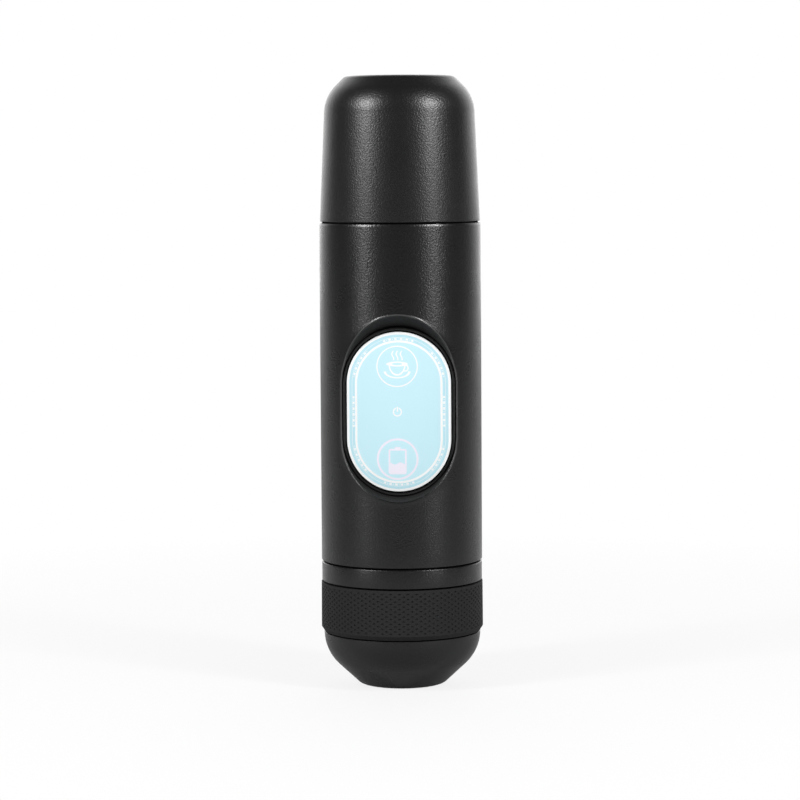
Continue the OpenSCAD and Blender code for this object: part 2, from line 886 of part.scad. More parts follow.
module shower_screws() {
    head_t = 0.4;
    color([0.78, 0.79, 0.8])
        for (i = [0:2])
            rotate(90 + i * 120) translate([shower_screw_ring, 0, 0]) {
                rod(screw_r, z_shower, z_socket + shower_bite - fit_gap);
                rod(screw_head_r, z_shower - head_t, z_shower);
            }
}

module group_seal() {
    color([0.06, 0.06, 0.06]) tube(seal_r, seal_r - seal_w, z_rim, z_socket + seal_groove);
}

// Collar with the coffee holder
module collar_gasket() {
    color([0.03, 0.03, 0.03]) tube(collar_r - gasket_recess, holder_r + slide_gap, z_ring, z_body);
}

module brew_collar() {
    color([0.13, 0.13, 0.14])
        rotate_extrude()
            polygon([
                [spout_r, z_spout], [spout_r + spout_wall, z_spout], [spout_r + spout_wall, z_skirt],
                [skirt_r, z_skirt], [skirt_r, z_collar], [collar_r - edge_bevel, z_collar],
                [collar_r, z_collar + edge_bevel], [collar_r, z_ring - edge_bevel],
                [collar_r - edge_bevel, z_ring], [holder_r, z_ring], [holder_r, z_holder],
                [rim_r + slide_gap, z_holder], [rim_r + slide_gap, z_ledge], [bore_r, z_ledge],
                [bore_r, z_funnel], [spout_r, z_funnel - funnel_h]
            ]);
}

module filter_basket() {
    wall_r = basket_r + basket_t;
    color([0.76, 0.77, 0.79])
        rotate_extrude()
            polygon([
                [basket_r - screen_ledge, z_basket], [wall_r, z_basket], [wall_r, z_ledge], [rim_r, z_ledge],
                [rim_r, z_rim], [basket_r, z_rim], [basket_r, z_basket + basket_t],
                [basket_r - screen_ledge, z_basket + basket_t]
            ]);
}

module basket_screen() {
    rings = 4;
    ring_step = (basket_r - screen_margin) / rings;
    color([0.72, 0.73, 0.75])
        difference() {
            rod(basket_r - fit_gap, z_screen - screen_t, z_screen);
            rod(screen_hole_d / 2, z_screen - screen_t - eps, z_screen + eps);
            for (k = [1:rings], i = [0:6 * k - 1])
                rotate(i * 60 / k) translate([k * ring_step, 0, 0])
                    rod(screen_hole_d / 2, z_screen - screen_t - eps, z_screen + eps);
        }
}

// Cup
module cup_gasket() {
    color([0.03, 0.03, 0.03]) tube(band_seat_r, skirt_r + slide_gap, z_grip, z_collar);
}

module cup_bowl() {
    z_seat = bowl_h - grip_groove / 2;
    skin = [for (p = bowl_side(0)) if (p[1] < z_seat) p];
    seat = [[bowl_r, z_seat], [band_seat_r, z_seat], [band_seat_r, z_grip], [cup_in_r, z_grip]];
    color([0.13, 0.13, 0.14])
        rotate_extrude() polygon(concat(skin, seat, reversed(bowl_side(cup_skin))));
}

module grip_band() {
    color([0.09, 0.09, 0.09])
        rotate_extrude()
            polygon([
                [band_seat_r + run_gap, z_band], [bowl_r, z_band], [grip_r, z_band + grip_bevel],
                [grip_r - grip_draft / 2, z_grip], [band_seat_r + run_gap, z_grip]
            ]);
}

// Cells and charging
module battery_cells() {
    color([0.2, 0.42, 0.66])
        for (side = [-1, 1])
            translate([side * cell_x, cell_y, 0]) {
                rod(cell_r, z_cells, z_cells + cell_h - cell_tip_h);
                rod(cell_tip_r, z_cells, z_cells + cell_h);
            }
}

module cell_pad() {
    pad_half = 6;
    color([0.25, 0.25, 0.26])
        block(
            -cell_x - pad_half, cell_x + pad_half, cell_y - pad_half, cell_y + pad_half,
            z_cells + cell_h, z_bulkhead
        );
}

module charge_board() {
    color([0.08, 0.3, 0.16])
        difference() {
            block(-charge_half, charge_half, charge_back, charge_front, charge_low, charge_high);
            for (x = [-1, 1])
                bar_y(board_screw_r + run_gap, x * charge_post_x, charge_post_z, 0, body_r);
        }
}

module charge_screws() {
    color([0.72, 0.73, 0.75])
        for (x = [-1, 1]) {
            bar_y(board_screw_r, x * charge_post_x, charge_post_z, charge_back, charge_front + charge_bite);
            bar_y(board_head_r, x * charge_post_x, charge_post_z, charge_back - board_head_h, charge_back);
        }
}

module usb_port() {
    mouth_w = usb_w - 2 * usb_shell;
    mouth_h = usb_h - 2 * usb_shell;
    color([0.75, 0.76, 0.78]) {
        difference() {
            slab_y(usb_z, charge_front, recess_y) stadium_flat(usb_w, usb_h);
            slab_y(usb_z, charge_front + usb_back, recess_y + eps) stadium_flat(mouth_w, mouth_h);
        }
        block(
            -mouth_w / 2 + tongue_side, mouth_w / 2 - tongue_side, charge_front + eps, recess_y - tongue_in,
            usb_z - usb_tongue / 2, usb_z + usb_tongue / 2
        );
    }
}

module usb_cover() {
    color([0.11, 0.11, 0.12])
        union() {
            intersection() {
                rod(recess_y + flap_t, flap_low, flap_high);
                block(-flap_half, flap_half, recess_y + slide_gap - run_gap, body_r, flap_low, flap_high);
            }
            translate([-flap_half, hinge_y, hinge_z]) rotate([0, 90, 0]) cylinder(r = hinge_r, h = flap_w);
            translate([-recess_half - trunnion_l, hinge_y, hinge_z])
                rotate([0, 90, 0]) cylinder(r = trunnion_r, h = 2 * (recess_half + trunnion_l));
            block(
                -flap_half, flap_half, hinge_y - hinge_r / 2, hinge_y + hinge_r / 2, hinge_z, flap_low + eps
            );
        }
}

water_tank();
tank_gasket();
body_shell();
tank_neck();
inlet_filter();
inlet_tube();
inlet_elbow();
chassis();
pump_head();
pump_screws();
motor();
motor_screws();
motor_shaft();
drive_coupling();
outlet_seal();
brew_head();
shower_plate();
shower_screws();
group_seal();
collar_gasket();
brew_collar();
filter_basket();
basket_screen();
cup_gasket();
cup_bowl();
grip_band();
button_bezel();
button_panel();
button_film();
button_clips();
control_board();
board_screws();
tact_switch();
switch_plunger();
indicator_leds();
battery_cells();
cell_pad();
charge_board();
charge_screws();
usb_port();
usb_cover();
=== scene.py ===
import json
import math

import bpy
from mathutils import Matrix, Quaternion, Vector


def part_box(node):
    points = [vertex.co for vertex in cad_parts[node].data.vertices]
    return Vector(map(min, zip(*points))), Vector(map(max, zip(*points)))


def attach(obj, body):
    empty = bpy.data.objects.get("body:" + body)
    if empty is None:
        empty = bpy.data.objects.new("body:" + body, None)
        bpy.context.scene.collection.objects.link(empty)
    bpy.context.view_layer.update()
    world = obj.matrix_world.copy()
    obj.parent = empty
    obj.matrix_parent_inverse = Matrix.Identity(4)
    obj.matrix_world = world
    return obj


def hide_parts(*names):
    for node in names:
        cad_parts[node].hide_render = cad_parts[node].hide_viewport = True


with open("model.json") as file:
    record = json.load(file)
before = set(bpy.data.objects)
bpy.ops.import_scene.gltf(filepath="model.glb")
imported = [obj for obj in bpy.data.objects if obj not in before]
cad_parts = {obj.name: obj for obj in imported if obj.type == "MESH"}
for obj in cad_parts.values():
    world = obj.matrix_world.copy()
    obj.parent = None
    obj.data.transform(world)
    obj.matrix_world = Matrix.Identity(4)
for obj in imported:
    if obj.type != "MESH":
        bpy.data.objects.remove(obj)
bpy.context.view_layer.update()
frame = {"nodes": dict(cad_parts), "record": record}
nodes = frame["nodes"]
mm = 0.001
fullTurn = 2 * math.pi
tiny = 0.01 * mm


# Wraps a shader socket so that sums can be written as sums
class Wire:
    def __init__(self, graph, socket):
        self.graph = graph
        self.socket = socket

    def join(self, operation, *others):
        return self.graph.reckon(operation, self, *others)

    def __add__(self, other):
        return self.join("ADD", other)

    def __sub__(self, other):
        return self.join("SUBTRACT", other)

    def __rsub__(self, other):
        return self.graph.reckon("SUBTRACT", other, self)

    def __mul__(self, other):
        return self.join("MULTIPLY", other)

    def __truediv__(self, other):
        return self.join("DIVIDE", other)

    def __neg__(self):
        return self * -1.0

    def __abs__(self):
        return self.join("ABSOLUTE")

    def least(self, other):
        return self.join("MINIMUM", other)

    def most(self, other):
        return self.join("MAXIMUM", other)

    def between(self, low, high):
        return self.most(low).least(high)

    def length(self, other):
        return (self * self + other * other).join("SQRT")

    # 1 where the distance is below zero, with an edge as wide as `soft`
    def inside(self, soft=0.06):
        return (0.5 - self / soft).between(0.0, 1.0)

    __radd__ = __add__
    __rmul__ = __mul__


class Graph:
    def __init__(self, tree):
        self.tree = tree

    def fill(self, made, sockets):
        for name, value in sockets.items():
            if isinstance(value, Wire):
                self.tree.links.new(value.socket, made.inputs[name])
            else:
                made.inputs[name].default_value = value

    def node(self, kind, settings, sockets, out=0):
        made = self.tree.nodes.new(kind)
        for name, value in settings.items():
            setattr(made, name, value)
        self.fill(made, sockets)
        return Wire(self, made.outputs[out])

    def reckon(self, operation, *values):
        return self.node("ShaderNodeMath", {"operation": operation}, dict(enumerate(values)))

    def place(self, kind="Object"):
        return self.node("ShaderNodeTexCoord", {}, {}, kind)

    def axis(self, place, name):
        return self.node("ShaderNodeSeparateXYZ", {}, {0: place}, name)

    def seen(self):
        return self.node("ShaderNodeLightPath", {}, {}, "Is Camera Ray")

    # 6, 7 and 2 are the colour sockets of a Mix node
    def mixed(self, share, first, second):
        return self.node("ShaderNodeMix", {"data_type": "RGBA"}, {0: share, 6: first, 7: second}, 2)

    def noise(self, place, scale, detail):
        return self.node("ShaderNodeTexNoise", {}, {"Vector": place, "Scale": scale, "Detail": detail})


def opaque(colour):
    return (*colour, 1.0)


def grey(level):
    return (level, level, level, 1.0)


def newMaterial(name):
    material = bpy.data.materials.new(name)
    material.use_nodes = True
    return material, Graph(material.node_tree), material.node_tree.nodes["Principled BSDF"]


# What a finish has where its own entry says nothing else
usual = {
    "metal": 0.0, "ior": 1.46, "drift": 90.0, "driftDetail": 2.0, "uneven": 0.06,
    "grainDetail": 1.0, "grainDepth": 0.2 * mm,
}


# Finish with a slow drift of roughness and, where it has a grain, a bump of that grain
def plainFinish(name, own):
    look = {**usual, **own}
    material, graph, shader = newMaterial(name)
    place = graph.place()
    drift = graph.noise(place, look["drift"], look["driftDetail"])
    graph.fill(shader, {
        "Base Color": opaque(look["colour"]),
        "Metallic": look["metal"],
        "IOR": look["ior"],
        "Roughness": (drift - 0.5) * look["uneven"] + look["rough"],
    })
    if "grain" in look:
        height = graph.noise(place, look["grain"], look["grainDetail"])
        sockets = {"Strength": look["relief"], "Distance": look["grainDepth"], "Height": height}
        graph.fill(shader, {"Normal": graph.node("ShaderNodeBump", {}, sockets)})
    return material


finishes = {
    "black_shell": {
        "colour": (0.006, 0.006, 0.0064), "rough": 0.28, "grain": 1700.0, "relief": 0.46, "ior": 1.56,
    },
    "tank_grain": {
        "colour": (0.006, 0.006, 0.0064), "rough": 0.34, "grain": 1700.0, "relief": 0.5, "ior": 1.6,
    },
    "grip_rubber": {
        "colour": (0.023, 0.023, 0.024), "rough": 0.7, "grain": 1800.0, "relief": 0.15, "ior": 1.25,
    },
    # Near-black rubber of the gaskets; also laid on the cup's seat ledge as painted shade in the groove
    "seal_rubber": {"colour": (0.003, 0.003, 0.003), "rough": 0.9, "ior": 1.15},
    "bezel_black": {
        "colour": (0.010, 0.010, 0.010), "rough": 0.26, "grain": 2600.0, "relief": 0.05, "ior": 1.56,
    },
    # Painted shade: a matte copy of the shell finish with little sheen, laid on the pocket's wall and flare
    # so that they render dark as if in shade
    "pocket_painted_shade": {
        "colour": (0.018, 0.018, 0.018), "rough": 0.7, "grain": 1500.0, "relief": 0.15, "ior": 1.3,
    },
    # Painted highlight: a lighter copy of the shell finish for the crest of the pocket's lip, standing in for
    # the light that its rounded edge catches
    "painted_rim_highlight": {
        "colour": (0.06, 0.06, 0.061), "rough": 0.28, "grain": 1700.0, "relief": 0.2, "ior": 1.56,
    },
    "button_white": {"colour": (0.86, 0.93, 0.95), "rough": 0.35},
    "flap_rubber": {"colour": (0.018, 0.018, 0.019), "rough": 0.6, "grain": 1800.0, "relief": 0.1},
    "inner_plastic": {"colour": (0.03, 0.03, 0.032), "rough": 0.45},
    "pump_plastic": {"colour": (0.62, 0.63, 0.64), "rough": 0.45},
    "silicone": {"colour": (0.72, 0.73, 0.72), "rough": 0.4},
    "steel": {"colour": (0.62, 0.62, 0.63), "rough": 0.28, "metal": 1.0},
    "motor_can": {"colour": (0.5, 0.5, 0.52), "rough": 0.34, "metal": 1.0},
    "brass": {"colour": (0.7, 0.5, 0.2), "rough": 0.3, "metal": 1.0},
    "board_green": {"colour": (0.02, 0.12, 0.05), "rough": 0.4},
    "switch_black": {"colour": (0.02, 0.02, 0.02), "rough": 0.5},
    "plunger_red": {"colour": (0.5, 0.04, 0.03), "rough": 0.4},
    "led_clear": {"colour": (0.9, 0.88, 0.8), "rough": 0.2},
    "cell_wrap": {"colour": (0.05, 0.16, 0.4), "rough": 0.35},
    "foam": {"colour": (0.05, 0.05, 0.05), "rough": 0.9, "grain": 900.0, "relief": 0.3},
}
materials = {slot: plainFinish(slot, look) for slot, look in finishes.items()}
print("finishes:", len(materials))


def deselect():
    bpy.ops.object.select_all(action="DESELECT")


# Makes the piece the only one that operators act on
def take(piece):
    deselect()
    piece.select_set(True)
    bpy.context.view_layer.objects.active = piece


def edit(on):
    bpy.ops.object.mode_set(mode="EDIT" if on else "OBJECT")


# Selects what passes the test and leaves the piece in edit mode
def selectWhere(piece, test, kind="VERT"):
    take(piece)
    edit(True)
    bpy.ops.mesh.select_mode(type=kind)
    bpy.ops.mesh.select_all(action="DESELECT")
    edit(False)
    mesh = piece.data
    items = {"VERT": mesh.vertices, "EDGE": mesh.edges, "FACE": mesh.polygons}[kind]
    for item in items:
        item.select = bool(test(item))
    edit(True)


def applyAll(piece):
    take(piece)
    for modifier in list(piece.modifiers):
        bpy.ops.object.modifier_apply(modifier=modifier.name)


def smooth(piece, angle=30):
    take(piece)
    bpy.ops.object.shade_smooth_by_angle(angle=math.radians(angle))


# Merges what lies together and turns all faces outwards, from edit mode
def closeUp(merge=1e-6):
    bpy.ops.mesh.select_all(action="SELECT")
    bpy.ops.mesh.remove_doubles(threshold=merge)
    bpy.ops.mesh.normals_make_consistent(inside=False)
    edit(False)


def settle(piece, body, slot, stands=(), finish=None):
    piece.data.materials.clear()
    piece.data.materials.append(finish or materials[slot])
    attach(piece, body)
    if stands:
        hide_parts(*stands)
    return piece


# Gives the faces whose middle passes the test another finish
def paint(piece, finish, test):
    index = len(piece.data.materials)
    piece.data.materials.append(materials[finish])
    for polygon in piece.data.polygons:
        if test(polygon.center):
            polygon.material_index = index


def carve(piece, tools, operation="DIFFERENCE"):
    for tool in tools:
        cut = piece.modifiers.new("cut", "BOOLEAN")
        cut.solver = "EXACT"
        cut.operation = operation
        cut.object = tool
    applyAll(piece)
    for tool in tools:
        bpy.data.objects.remove(tool)


def joinPieces(pieces):
    take(pieces[0])
    for piece in pieces:
        piece.select_set(True)
    bpy.ops.object.join()
    return pieces[0]


def edgeBevel(piece, width, segments):
    edge = piece.modifiers.new("edge", "BEVEL")
    edge.limit_method = "ANGLE"
    edge.angle_limit = math.radians(40)
    edge.width = width
    edge.segments = segments
    applyAll(piece)


# Rounds the corners of a piece that runs along Y
def roundCorners(piece, radius, segments):
    def alongY(item):
        start, stop = (piece.data.vertices[i].co for i in item.vertices)
        return abs((stop - start).normalized().y) > 0.99

    selectWhere(piece, alongY, "EDGE")
    bpy.ops.mesh.bevel(offset=radius, segments=segments, affect="EDGES")
    edit(False)


# Cuts a piece into upright strips, so that it can be curved
def sliceAcross(piece, half, cuts):
    take(piece)
    edit(True)
    for k in range(1, cuts + 1):
        bpy.ops.mesh.select_all(action="SELECT")
        bpy.ops.mesh.bisect(plane_co=(half * (2 * k / (cuts + 1) - 1), 0, 0), plane_no=(1, 0, 0))
    edit(False)


# Closed block between two corners
def blockPiece(name, low, high):
    deselect()
    bpy.ops.mesh.primitive_cube_add(
        size=1, location=(Vector(low) + Vector(high)) / 2, scale=Vector(high) - Vector(low)
    )
    piece = bpy.context.object
    piece.name = name
    bpy.ops.object.transform_apply(location=True, scale=True)
    return piece


# Round bar along Y
def barPiece(radius, x, z, y0, y1, vertices=48):
    deselect()
    bpy.ops.mesh.primitive_cylinder_add(
        vertices=vertices, radius=radius, depth=y1 - y0, location=(x, (y0 + y1) / 2, z),
        rotation=(math.pi / 2, 0, 0),
    )
    bpy.ops.object.transform_apply(location=True, rotation=True)
    return bpy.context.object


# Corners (radius, height, rounding) as one line of points
def roundedLine(corners, closed, steps=6):
    line = []
    for i, (radius, height, fillet) in enumerate(corners):
        here = Vector((radius, height))
        if fillet == 0 or (not closed and i in (0, len(corners) - 1)):
            line.append(here)
            continue
        before = (Vector(corners[i - 1][:2]) - here).normalized()
        after = (Vector(corners[(i + 1) % len(corners)][:2]) - here).normalized()
        half = before.angle(after) / 2
        middle = here + (before + after).normalized() * fillet / math.sin(half)
        reach = fillet / math.tan(half)
        start = (here + before * reach - middle).normalized()
        stop = (here + after * reach - middle).normalized()
        line += [middle + start.slerp(stop, k / steps) * fillet for k in range(steps + 1)]
    return line


# A line of points drawn by extrusion, left in edit mode
def drawLine(name, line, closed):
    deselect()
    first = line[0]
    bpy.ops.mesh.primitive_plane_add(size=mm, location=(first[0], 0, first[1]))
    piece = bpy.context.object
    piece.name = name
    bpy.ops.object.transform_apply(location=True)
    edit(True)
    bpy.ops.mesh.select_mode(type="VERT")
    bpy.ops.mesh.select_all(action="SELECT")
    bpy.ops.mesh.merge(type="CENTER")
    path = list(line) + ([first] if closed else [])
    for here, there in zip(path, path[1:]):
        step = (there[0] - here[0], 0, there[1] - here[1])
        bpy.ops.mesh.extrude_vertices_move(TRANSFORM_OT_translate={"value": step})
    bpy.ops.mesh.select_all(action="SELECT")
    return piece


# A line spun round the axis
def spinPiece(name, line, closed, steps):
    piece = drawLine(name, line, closed)
    bpy.ops.mesh.spin(steps=steps, angle=fullTurn, center=(0, 0, 0), axis=(0, 0, 1))
    closeUp()
    smooth(piece)
    return piece


# Side of a vessel from the middle of its flat end to its mouth, as (radius, depth): an arc at the edge of
# the end and one at the flank, which meet at the slope, then the tapered wall, all `off` below the skin
def vesselSide(shape, mouth, height, off, steps=14):
    slope, taper, edge, flank = (shape[key] for key in ("slope", "taper", "edge", "flank"))
    end = mouth - shape["round"]
    reach = mouth - height * math.tan(taper) - flank / math.cos(taper) - end
    rise = edge - flank - edge * math.cos(slope) - reach * math.sin(slope)
    depth = rise / (math.tan(taper) * math.sin(slope) - math.cos(slope))
    across = mouth - (height - depth) * math.tan(taper) - flank / math.cos(taper)
    meet = slope - math.pi / 2
    line = [(0.0, off)]
    for x, y, radius, start, stop in (
        (end, edge, edge, -math.pi / 2, meet),
        (across, depth, flank, meet, -taper),
    ):
        for k in range(steps + 1):
            angle = start + (stop - start) * k / steps
            line.append((x + (radius - off) * math.cos(angle), y + (radius - off) * math.sin(angle)))
    return line + [(mouth - off / math.cos(taper), height)]


# Water tank
tank = {
    "slope": math.radians(45), "taper": math.radians(2.6), "edge": 3 * mm, "flank": 15 * mm,
    "round": 11.1 * mm, "wall": 2.2 * mm, "rim": 0.25 * mm, "steps": 192,
}
tankLow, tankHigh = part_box("water_tank")
tankSides = []
for off in (0, tank["wall"]):
    side = vesselSide(tank, tankHigh.x, tankHigh.z - tankLow.z, off)
    corners = [(radius, tankHigh.z - depth, 0) for radius, depth in side]
    corners[-1] = (*corners[-1][:2], tank["rim"])
    tankSides.append(corners)
tankLine = roundedLine(tankSides[0] + tankSides[1][::-1], False)
tankShell = spinPiece("tankShell", tankLine, False, tank["steps"])
settle(tankShell, "tank", "black_shell", ["water_tank"], materials["tank_grain"])
print("tank")

# Gaskets in the seams, with rounded lips
gaskets = {
    "lip": 0.1 * mm, "steps": 128,
    "rings": {
        "tank_gasket": ("tankRing", "tank_seal", 27.9 * mm),
        "collar_gasket": ("collarRing", "collar_seal", 26.92 * mm),
        "cup_gasket": ("cupRing", "cup_seal", 26.92 * mm),
    },
}
for node, (name, body, inner) in gaskets["rings"].items():
    low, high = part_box(node)
    corners = [
        (inner, low.z, 0), (high.x, low.z, gaskets["lip"]),
        (high.x, high.z, gaskets["lip"]), (inner, high.z, 0),
    ]
    ring = spinPiece(name, roundedLine(corners, True), True, gaskets["steps"])
    settle(ring, body, "seal_rubber", [node])
print("gaskets")

# Housing: a solid spun round the axis, with its pocket drawn inwards loop by loop from an oval hole
housing = {
    "wall": 2.2 * mm, "edge": 0.25 * mm, "topEdge": 0.2 * mm, "steps": 256, "levels": 24, "smooth": 40,
    "chamferIn": 0.23 * mm, "chamferTall": 0.85 * mm, "chamferTurn": 1 * mm, "boreSteps": 128,
    "pocketDepth": 12 * mm, "floor": 1.4 * mm, "gap": 0.1 * mm, "clear": 2 * mm,
    "holeSide": 2.2 * mm, "holeTop": 3.8 * mm, "liningWide": 1.1, "liningTall": 1.2,
    "flareDepth": 7.6 * mm, "flareTop": 4.4 * mm, "flareBottom": 1.6 * mm, "flareSteps": 3,
    "lipShare": 0.9, "sideDeep": 1 * mm, "pocketShadeFrom": 0.12 * mm, "crest": 0.125 * mm, "crestDrop": 12 * mm,
}
# Lip round the pocket: way along the skin (or, below zero, down into the pocket) and height over it
lip = [
    (0.95, 0.0), (0.86, 0.02), (0.76, 0.07), (0.66, 0.12), (0.55, 0.155), (0.44, 0.165), (0.33, 0.15),
    (0.2, 0.11), (0.08, 0.065), (0.0, 0.03), (-0.1, 0.0), (-0.3, 0.0), (-0.5, 0.0),
]
shellLow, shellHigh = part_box("body_shell")
bezelLow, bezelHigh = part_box("button_bezel")
shellRadius = shellHigh.x
pocketHalf = bezelHigh.x + housing["gap"]
panelMiddle = (bezelLow.z + bezelHigh.z) / 2
straightHalf = (bezelHigh.z - bezelLow.z) / 2 - bezelHigh.x
flareY = -shellRadius + housing["flareDepth"]
pocketY = -shellRadius + housing["pocketDepth"]
pocketBack = pocketY + housing["floor"]


# Round prism along Y drawn out to a stadium, from depth y0 to y1
def stadiumPrism(name, half, y0, y1, split=straightHalf, vertices=128):
    deselect()
    bpy.ops.mesh.primitive_cylinder_add(
        vertices=vertices, radius=half, depth=abs(y1 - y0), location=(0, (y0 + y1) / 2, panelMiddle),
        rotation=(-math.pi / 2, math.pi / vertices, 0),
    )
    piece = bpy.context.object
    piece.name = name
    bpy.ops.object.transform_apply(location=True, rotation=True)
    for side in (1, -1):
        selectWhere(piece, lambda item: (item.co.z - panelMiddle) * side > 0)
        bpy.ops.transform.translate(value=(0, 0, side * split))
        edit(False)
    return piece


def skinY(x):
    return -math.sqrt(shellRadius ** 2 - x * x)


# Where the pocket's edge meets the skin, on the ray that leaves the oval's outline at `foot` along `out`,
# and how much the flare widens there
def rimReach(foot, out):
    if out.y == 0 or skinY(foot.x) > flareY:
        return 0.0, None
    widen = (housing["flareTop"] if out.y > 0 else housing["flareBottom"]) / housing["flareDepth"]
    low, high = 0.0, 2 * housing["flareTop"]
    for _ in range(40):
        middle = (low + high) / 2
        if flareY - middle / widen > skinY(foot.x + middle * out.x):
            low = middle
        else:
            high = middle
    return low, widen


# Point of the pocket's section number `step`, for a point outside the oval
def pocketPoint(co, step):
    z = co.z - panelMiddle
    level = max(-straightHalf, min(straightHalf, z))
    out = Vector((co.x, z - level))
    away = out.length - pocketHalf
    out.normalize()
    foot = Vector((out.x * pocketHalf, level + out.y * pocketHalf))
    reach, widen = rimReach(foot, out)
    corner = Vector((reach, skinY(foot.x + reach * out.x)))
    slope = (foot.x + reach * out.x) * out.x / -corner.y
    outwards = Vector((1, slope)).normalized()
    inwards = Vector((-widen, 1)).normalized() if widen else Vector((0, 1))
    over = Vector((outwards.y, -outwards.x))
    deep = flareY if widen else corner.y + housing["sideDeep"]
    room = min(1.0, housing["lipShare"] * (deep - corner.y) / inwards.y / (-lip[-1][0] * mm))

    def lipPoint(k):
        along, rise = lip[k][0] * mm, lip[k][1] * mm
        return corner + (outwards * along if along > 0 else inwards * -along * room) + over * rise

    if step == 0:
        halfway = (away + lipPoint(0).x) / 2
        section = Vector((halfway, skinY(foot.x + halfway * out.x)))
    elif step <= len(lip):
        section = lipPoint(step - 1)
    elif step <= len(lip) + housing["flareSteps"]:
        section = lipPoint(-1).lerp(Vector((0, deep)), (step - len(lip)) / housing["flareSteps"])
    else:
        section = Vector((0, pocketY))
    spot = foot + out * section.x
    return Vector((spot.x, section.y, panelMiddle + spot.y))


shellTall = shellHigh.z - shellLow.z
levels = [shellLow.z + shellTall * k / housing["levels"] for k in range(1, housing["levels"])]
shellCorners = [
    (0, shellLow.z, 0), (shellRadius, shellLow.z, housing["edge"]),
    *[(shellRadius, level, 0) for level in levels],
    (shellRadius, shellHigh.z - housing["chamferTall"], housing["chamferTurn"]),
    (shellRadius - housing["chamferIn"], shellHigh.z, housing["topEdge"]), (0, shellHigh.z, 0),
]
shell = spinPiece("housingShell", roundedLine(shellCorners, False), False, housing["steps"])
hole = stadiumPrism(
    "hole", pocketHalf + housing["holeSide"], pocketY, -shellRadius - housing["clear"],
    straightHalf + housing["holeTop"],
)
carve(shell, [hole])


def insideHole(item):
    between = shellLow.z + housing["clear"] < item.center.z < shellHigh.z - housing["clear"]
    return between and math.hypot(item.center.x, item.center.y) < shellRadius - tiny


selectWhere(shell, insideHole, "FACE")
bpy.ops.mesh.delete(type="FACE")
bpy.ops.mesh.select_mode(type="EDGE")
bpy.ops.mesh.select_all(action="DESELECT")
bpy.ops.mesh.select_non_manifold(extend=False)
edit(False)
print("pocket loop:", sum(edge.select for edge in shell.data.edges), "edges")
for step in range(len(lip) + housing["flareSteps"] + 2):
    edit(True)
    bpy.ops.mesh.extrude_edges_move()
    edit(False)
    for vertex in shell.data.vertices:
        if vertex.select:
            vertex.co = pocketPoint(vertex.co, step)
edit(True)
bpy.ops.mesh.edge_face_add()
bpy.ops.mesh.select_all(action="SELECT")
bpy.ops.mesh.normals_make_consistent(inside=False)
edit(False)

# The bore, which leaves the pocket's floor and a block that holds the charging socket
recess = {
    "half": 5.8 * mm, "low": 133.4 * mm, "high": 148.3 * mm, "floor": 28.6 * mm, "wall": 2 * mm,
    "block": 8 * mm, "slotHalf": 4.57 * mm, "slotTall": 1.7 * mm, "slotRound": 1.65 * mm,
    "slotAt": 142.5 * mm,
}
deselect()
bpy.ops.mesh.primitive_cylinder_add(
    vertices=housing["boreSteps"], radius=shellRadius - housing["wall"], depth=2 * shellTall,
    location=(0, 0, panelMiddle),
)
bore = bpy.context.object
bpy.ops.object.transform_apply(location=True)
liningX = housing["liningWide"] * shellRadius
liningZ = housing["liningTall"] * (straightHalf + pocketHalf)
lining = blockPiece(
    "lining", (-liningX, pocketBack - shellRadius, panelMiddle - liningZ),
    (liningX, pocketBack, panelMiddle + liningZ),
)
socketBlock = blockPiece(
    "socketBlock", (-recess["block"], recess["floor"] - recess["wall"], recess["low"] - recess["wall"]),
    (recess["block"], 2 * shellRadius, recess["high"] + recess["wall"]),
)
carve(bore, [lining, socketBlock])
notch = blockPiece(
    "notch", (-recess["half"], recess["floor"], recess["low"]),
    (recess["half"], 2 * shellRadius, recess["high"]),
)
socketSlot = blockPiece(
    "socketSlot", (-recess["slotHalf"], shellRadius / 2, recess["slotAt"] - recess["slotTall"]),
    (recess["slotHalf"], shellRadius, recess["slotAt"] + recess["slotTall"]),
)
roundCorners(socketSlot, recess["slotRound"], 8)
carve(shell, [bore, notch, socketSlot])

# Behind the pocket: bosses for the boards, the switch window and the bores of button pins and lamps
inside = {
    "bossRadius": 2.2 * mm, "bossX": 13 * mm, "bossUp": 18 * mm, "bossEnd": -16.6 * mm, "bore": 0.95 * mm,
    "window": 3.7 * mm, "pinUp": 26 * mm, "pinBore": 1.65 * mm, "lampUp": 17.5 * mm, "lampBore": 2.1 * mm,
    "postX": 5 * mm, "postAt": 133 * mm, "postRadius": 2 * mm, "postEnd": 21.3 * mm,
    "overlap": 0.3 * mm, "clear": 1 * mm,
}
boreFront = pocketY - inside["clear"]
bossSpots = [(x * inside["bossX"], panelMiddle + up * inside["bossUp"]) for x in (-1, 1) for up in (-1, 1)]
postSpots = [(x * inside["postX"], inside["postAt"]) for x in (-1, 1)]
studs, bores = [], []
for x, z in bossSpots:
    studs.append(barPiece(inside["bossRadius"], x, z, pocketBack - inside["overlap"], inside["bossEnd"]))
    bores.append(barPiece(inside["bore"], x, z, pocketBack - housing["floor"] / 2, 0))
for x, z in postSpots:
    postBack = recess["floor"] - recess["wall"]
    studs.append(barPiece(inside["postRadius"], x, z, inside["postEnd"], postBack + recess["wall"] / 2))
    bores.append(barPiece(inside["bore"], x, z, 0, postBack))
for up in (-1, 1):
    bores.append(barPiece(inside["pinBore"], 0, panelMiddle + up * inside["pinUp"], boreFront, 0))
    bores.append(barPiece(inside["lampBore"], 0, panelMiddle + up * inside["lampUp"], boreFront, 0))
bores.append(blockPiece(
    "window", (-inside["window"], boreFront, panelMiddle - inside["window"]),
    (inside["window"], 0, panelMiddle + inside["window"]),
))
carve(shell, [joinPieces(studs)], "UNION")
carve(shell, [joinPieces(bores)])
smooth(shell, housing["smooth"])
settle(shell, "housing", "black_shell", ["body_shell"])


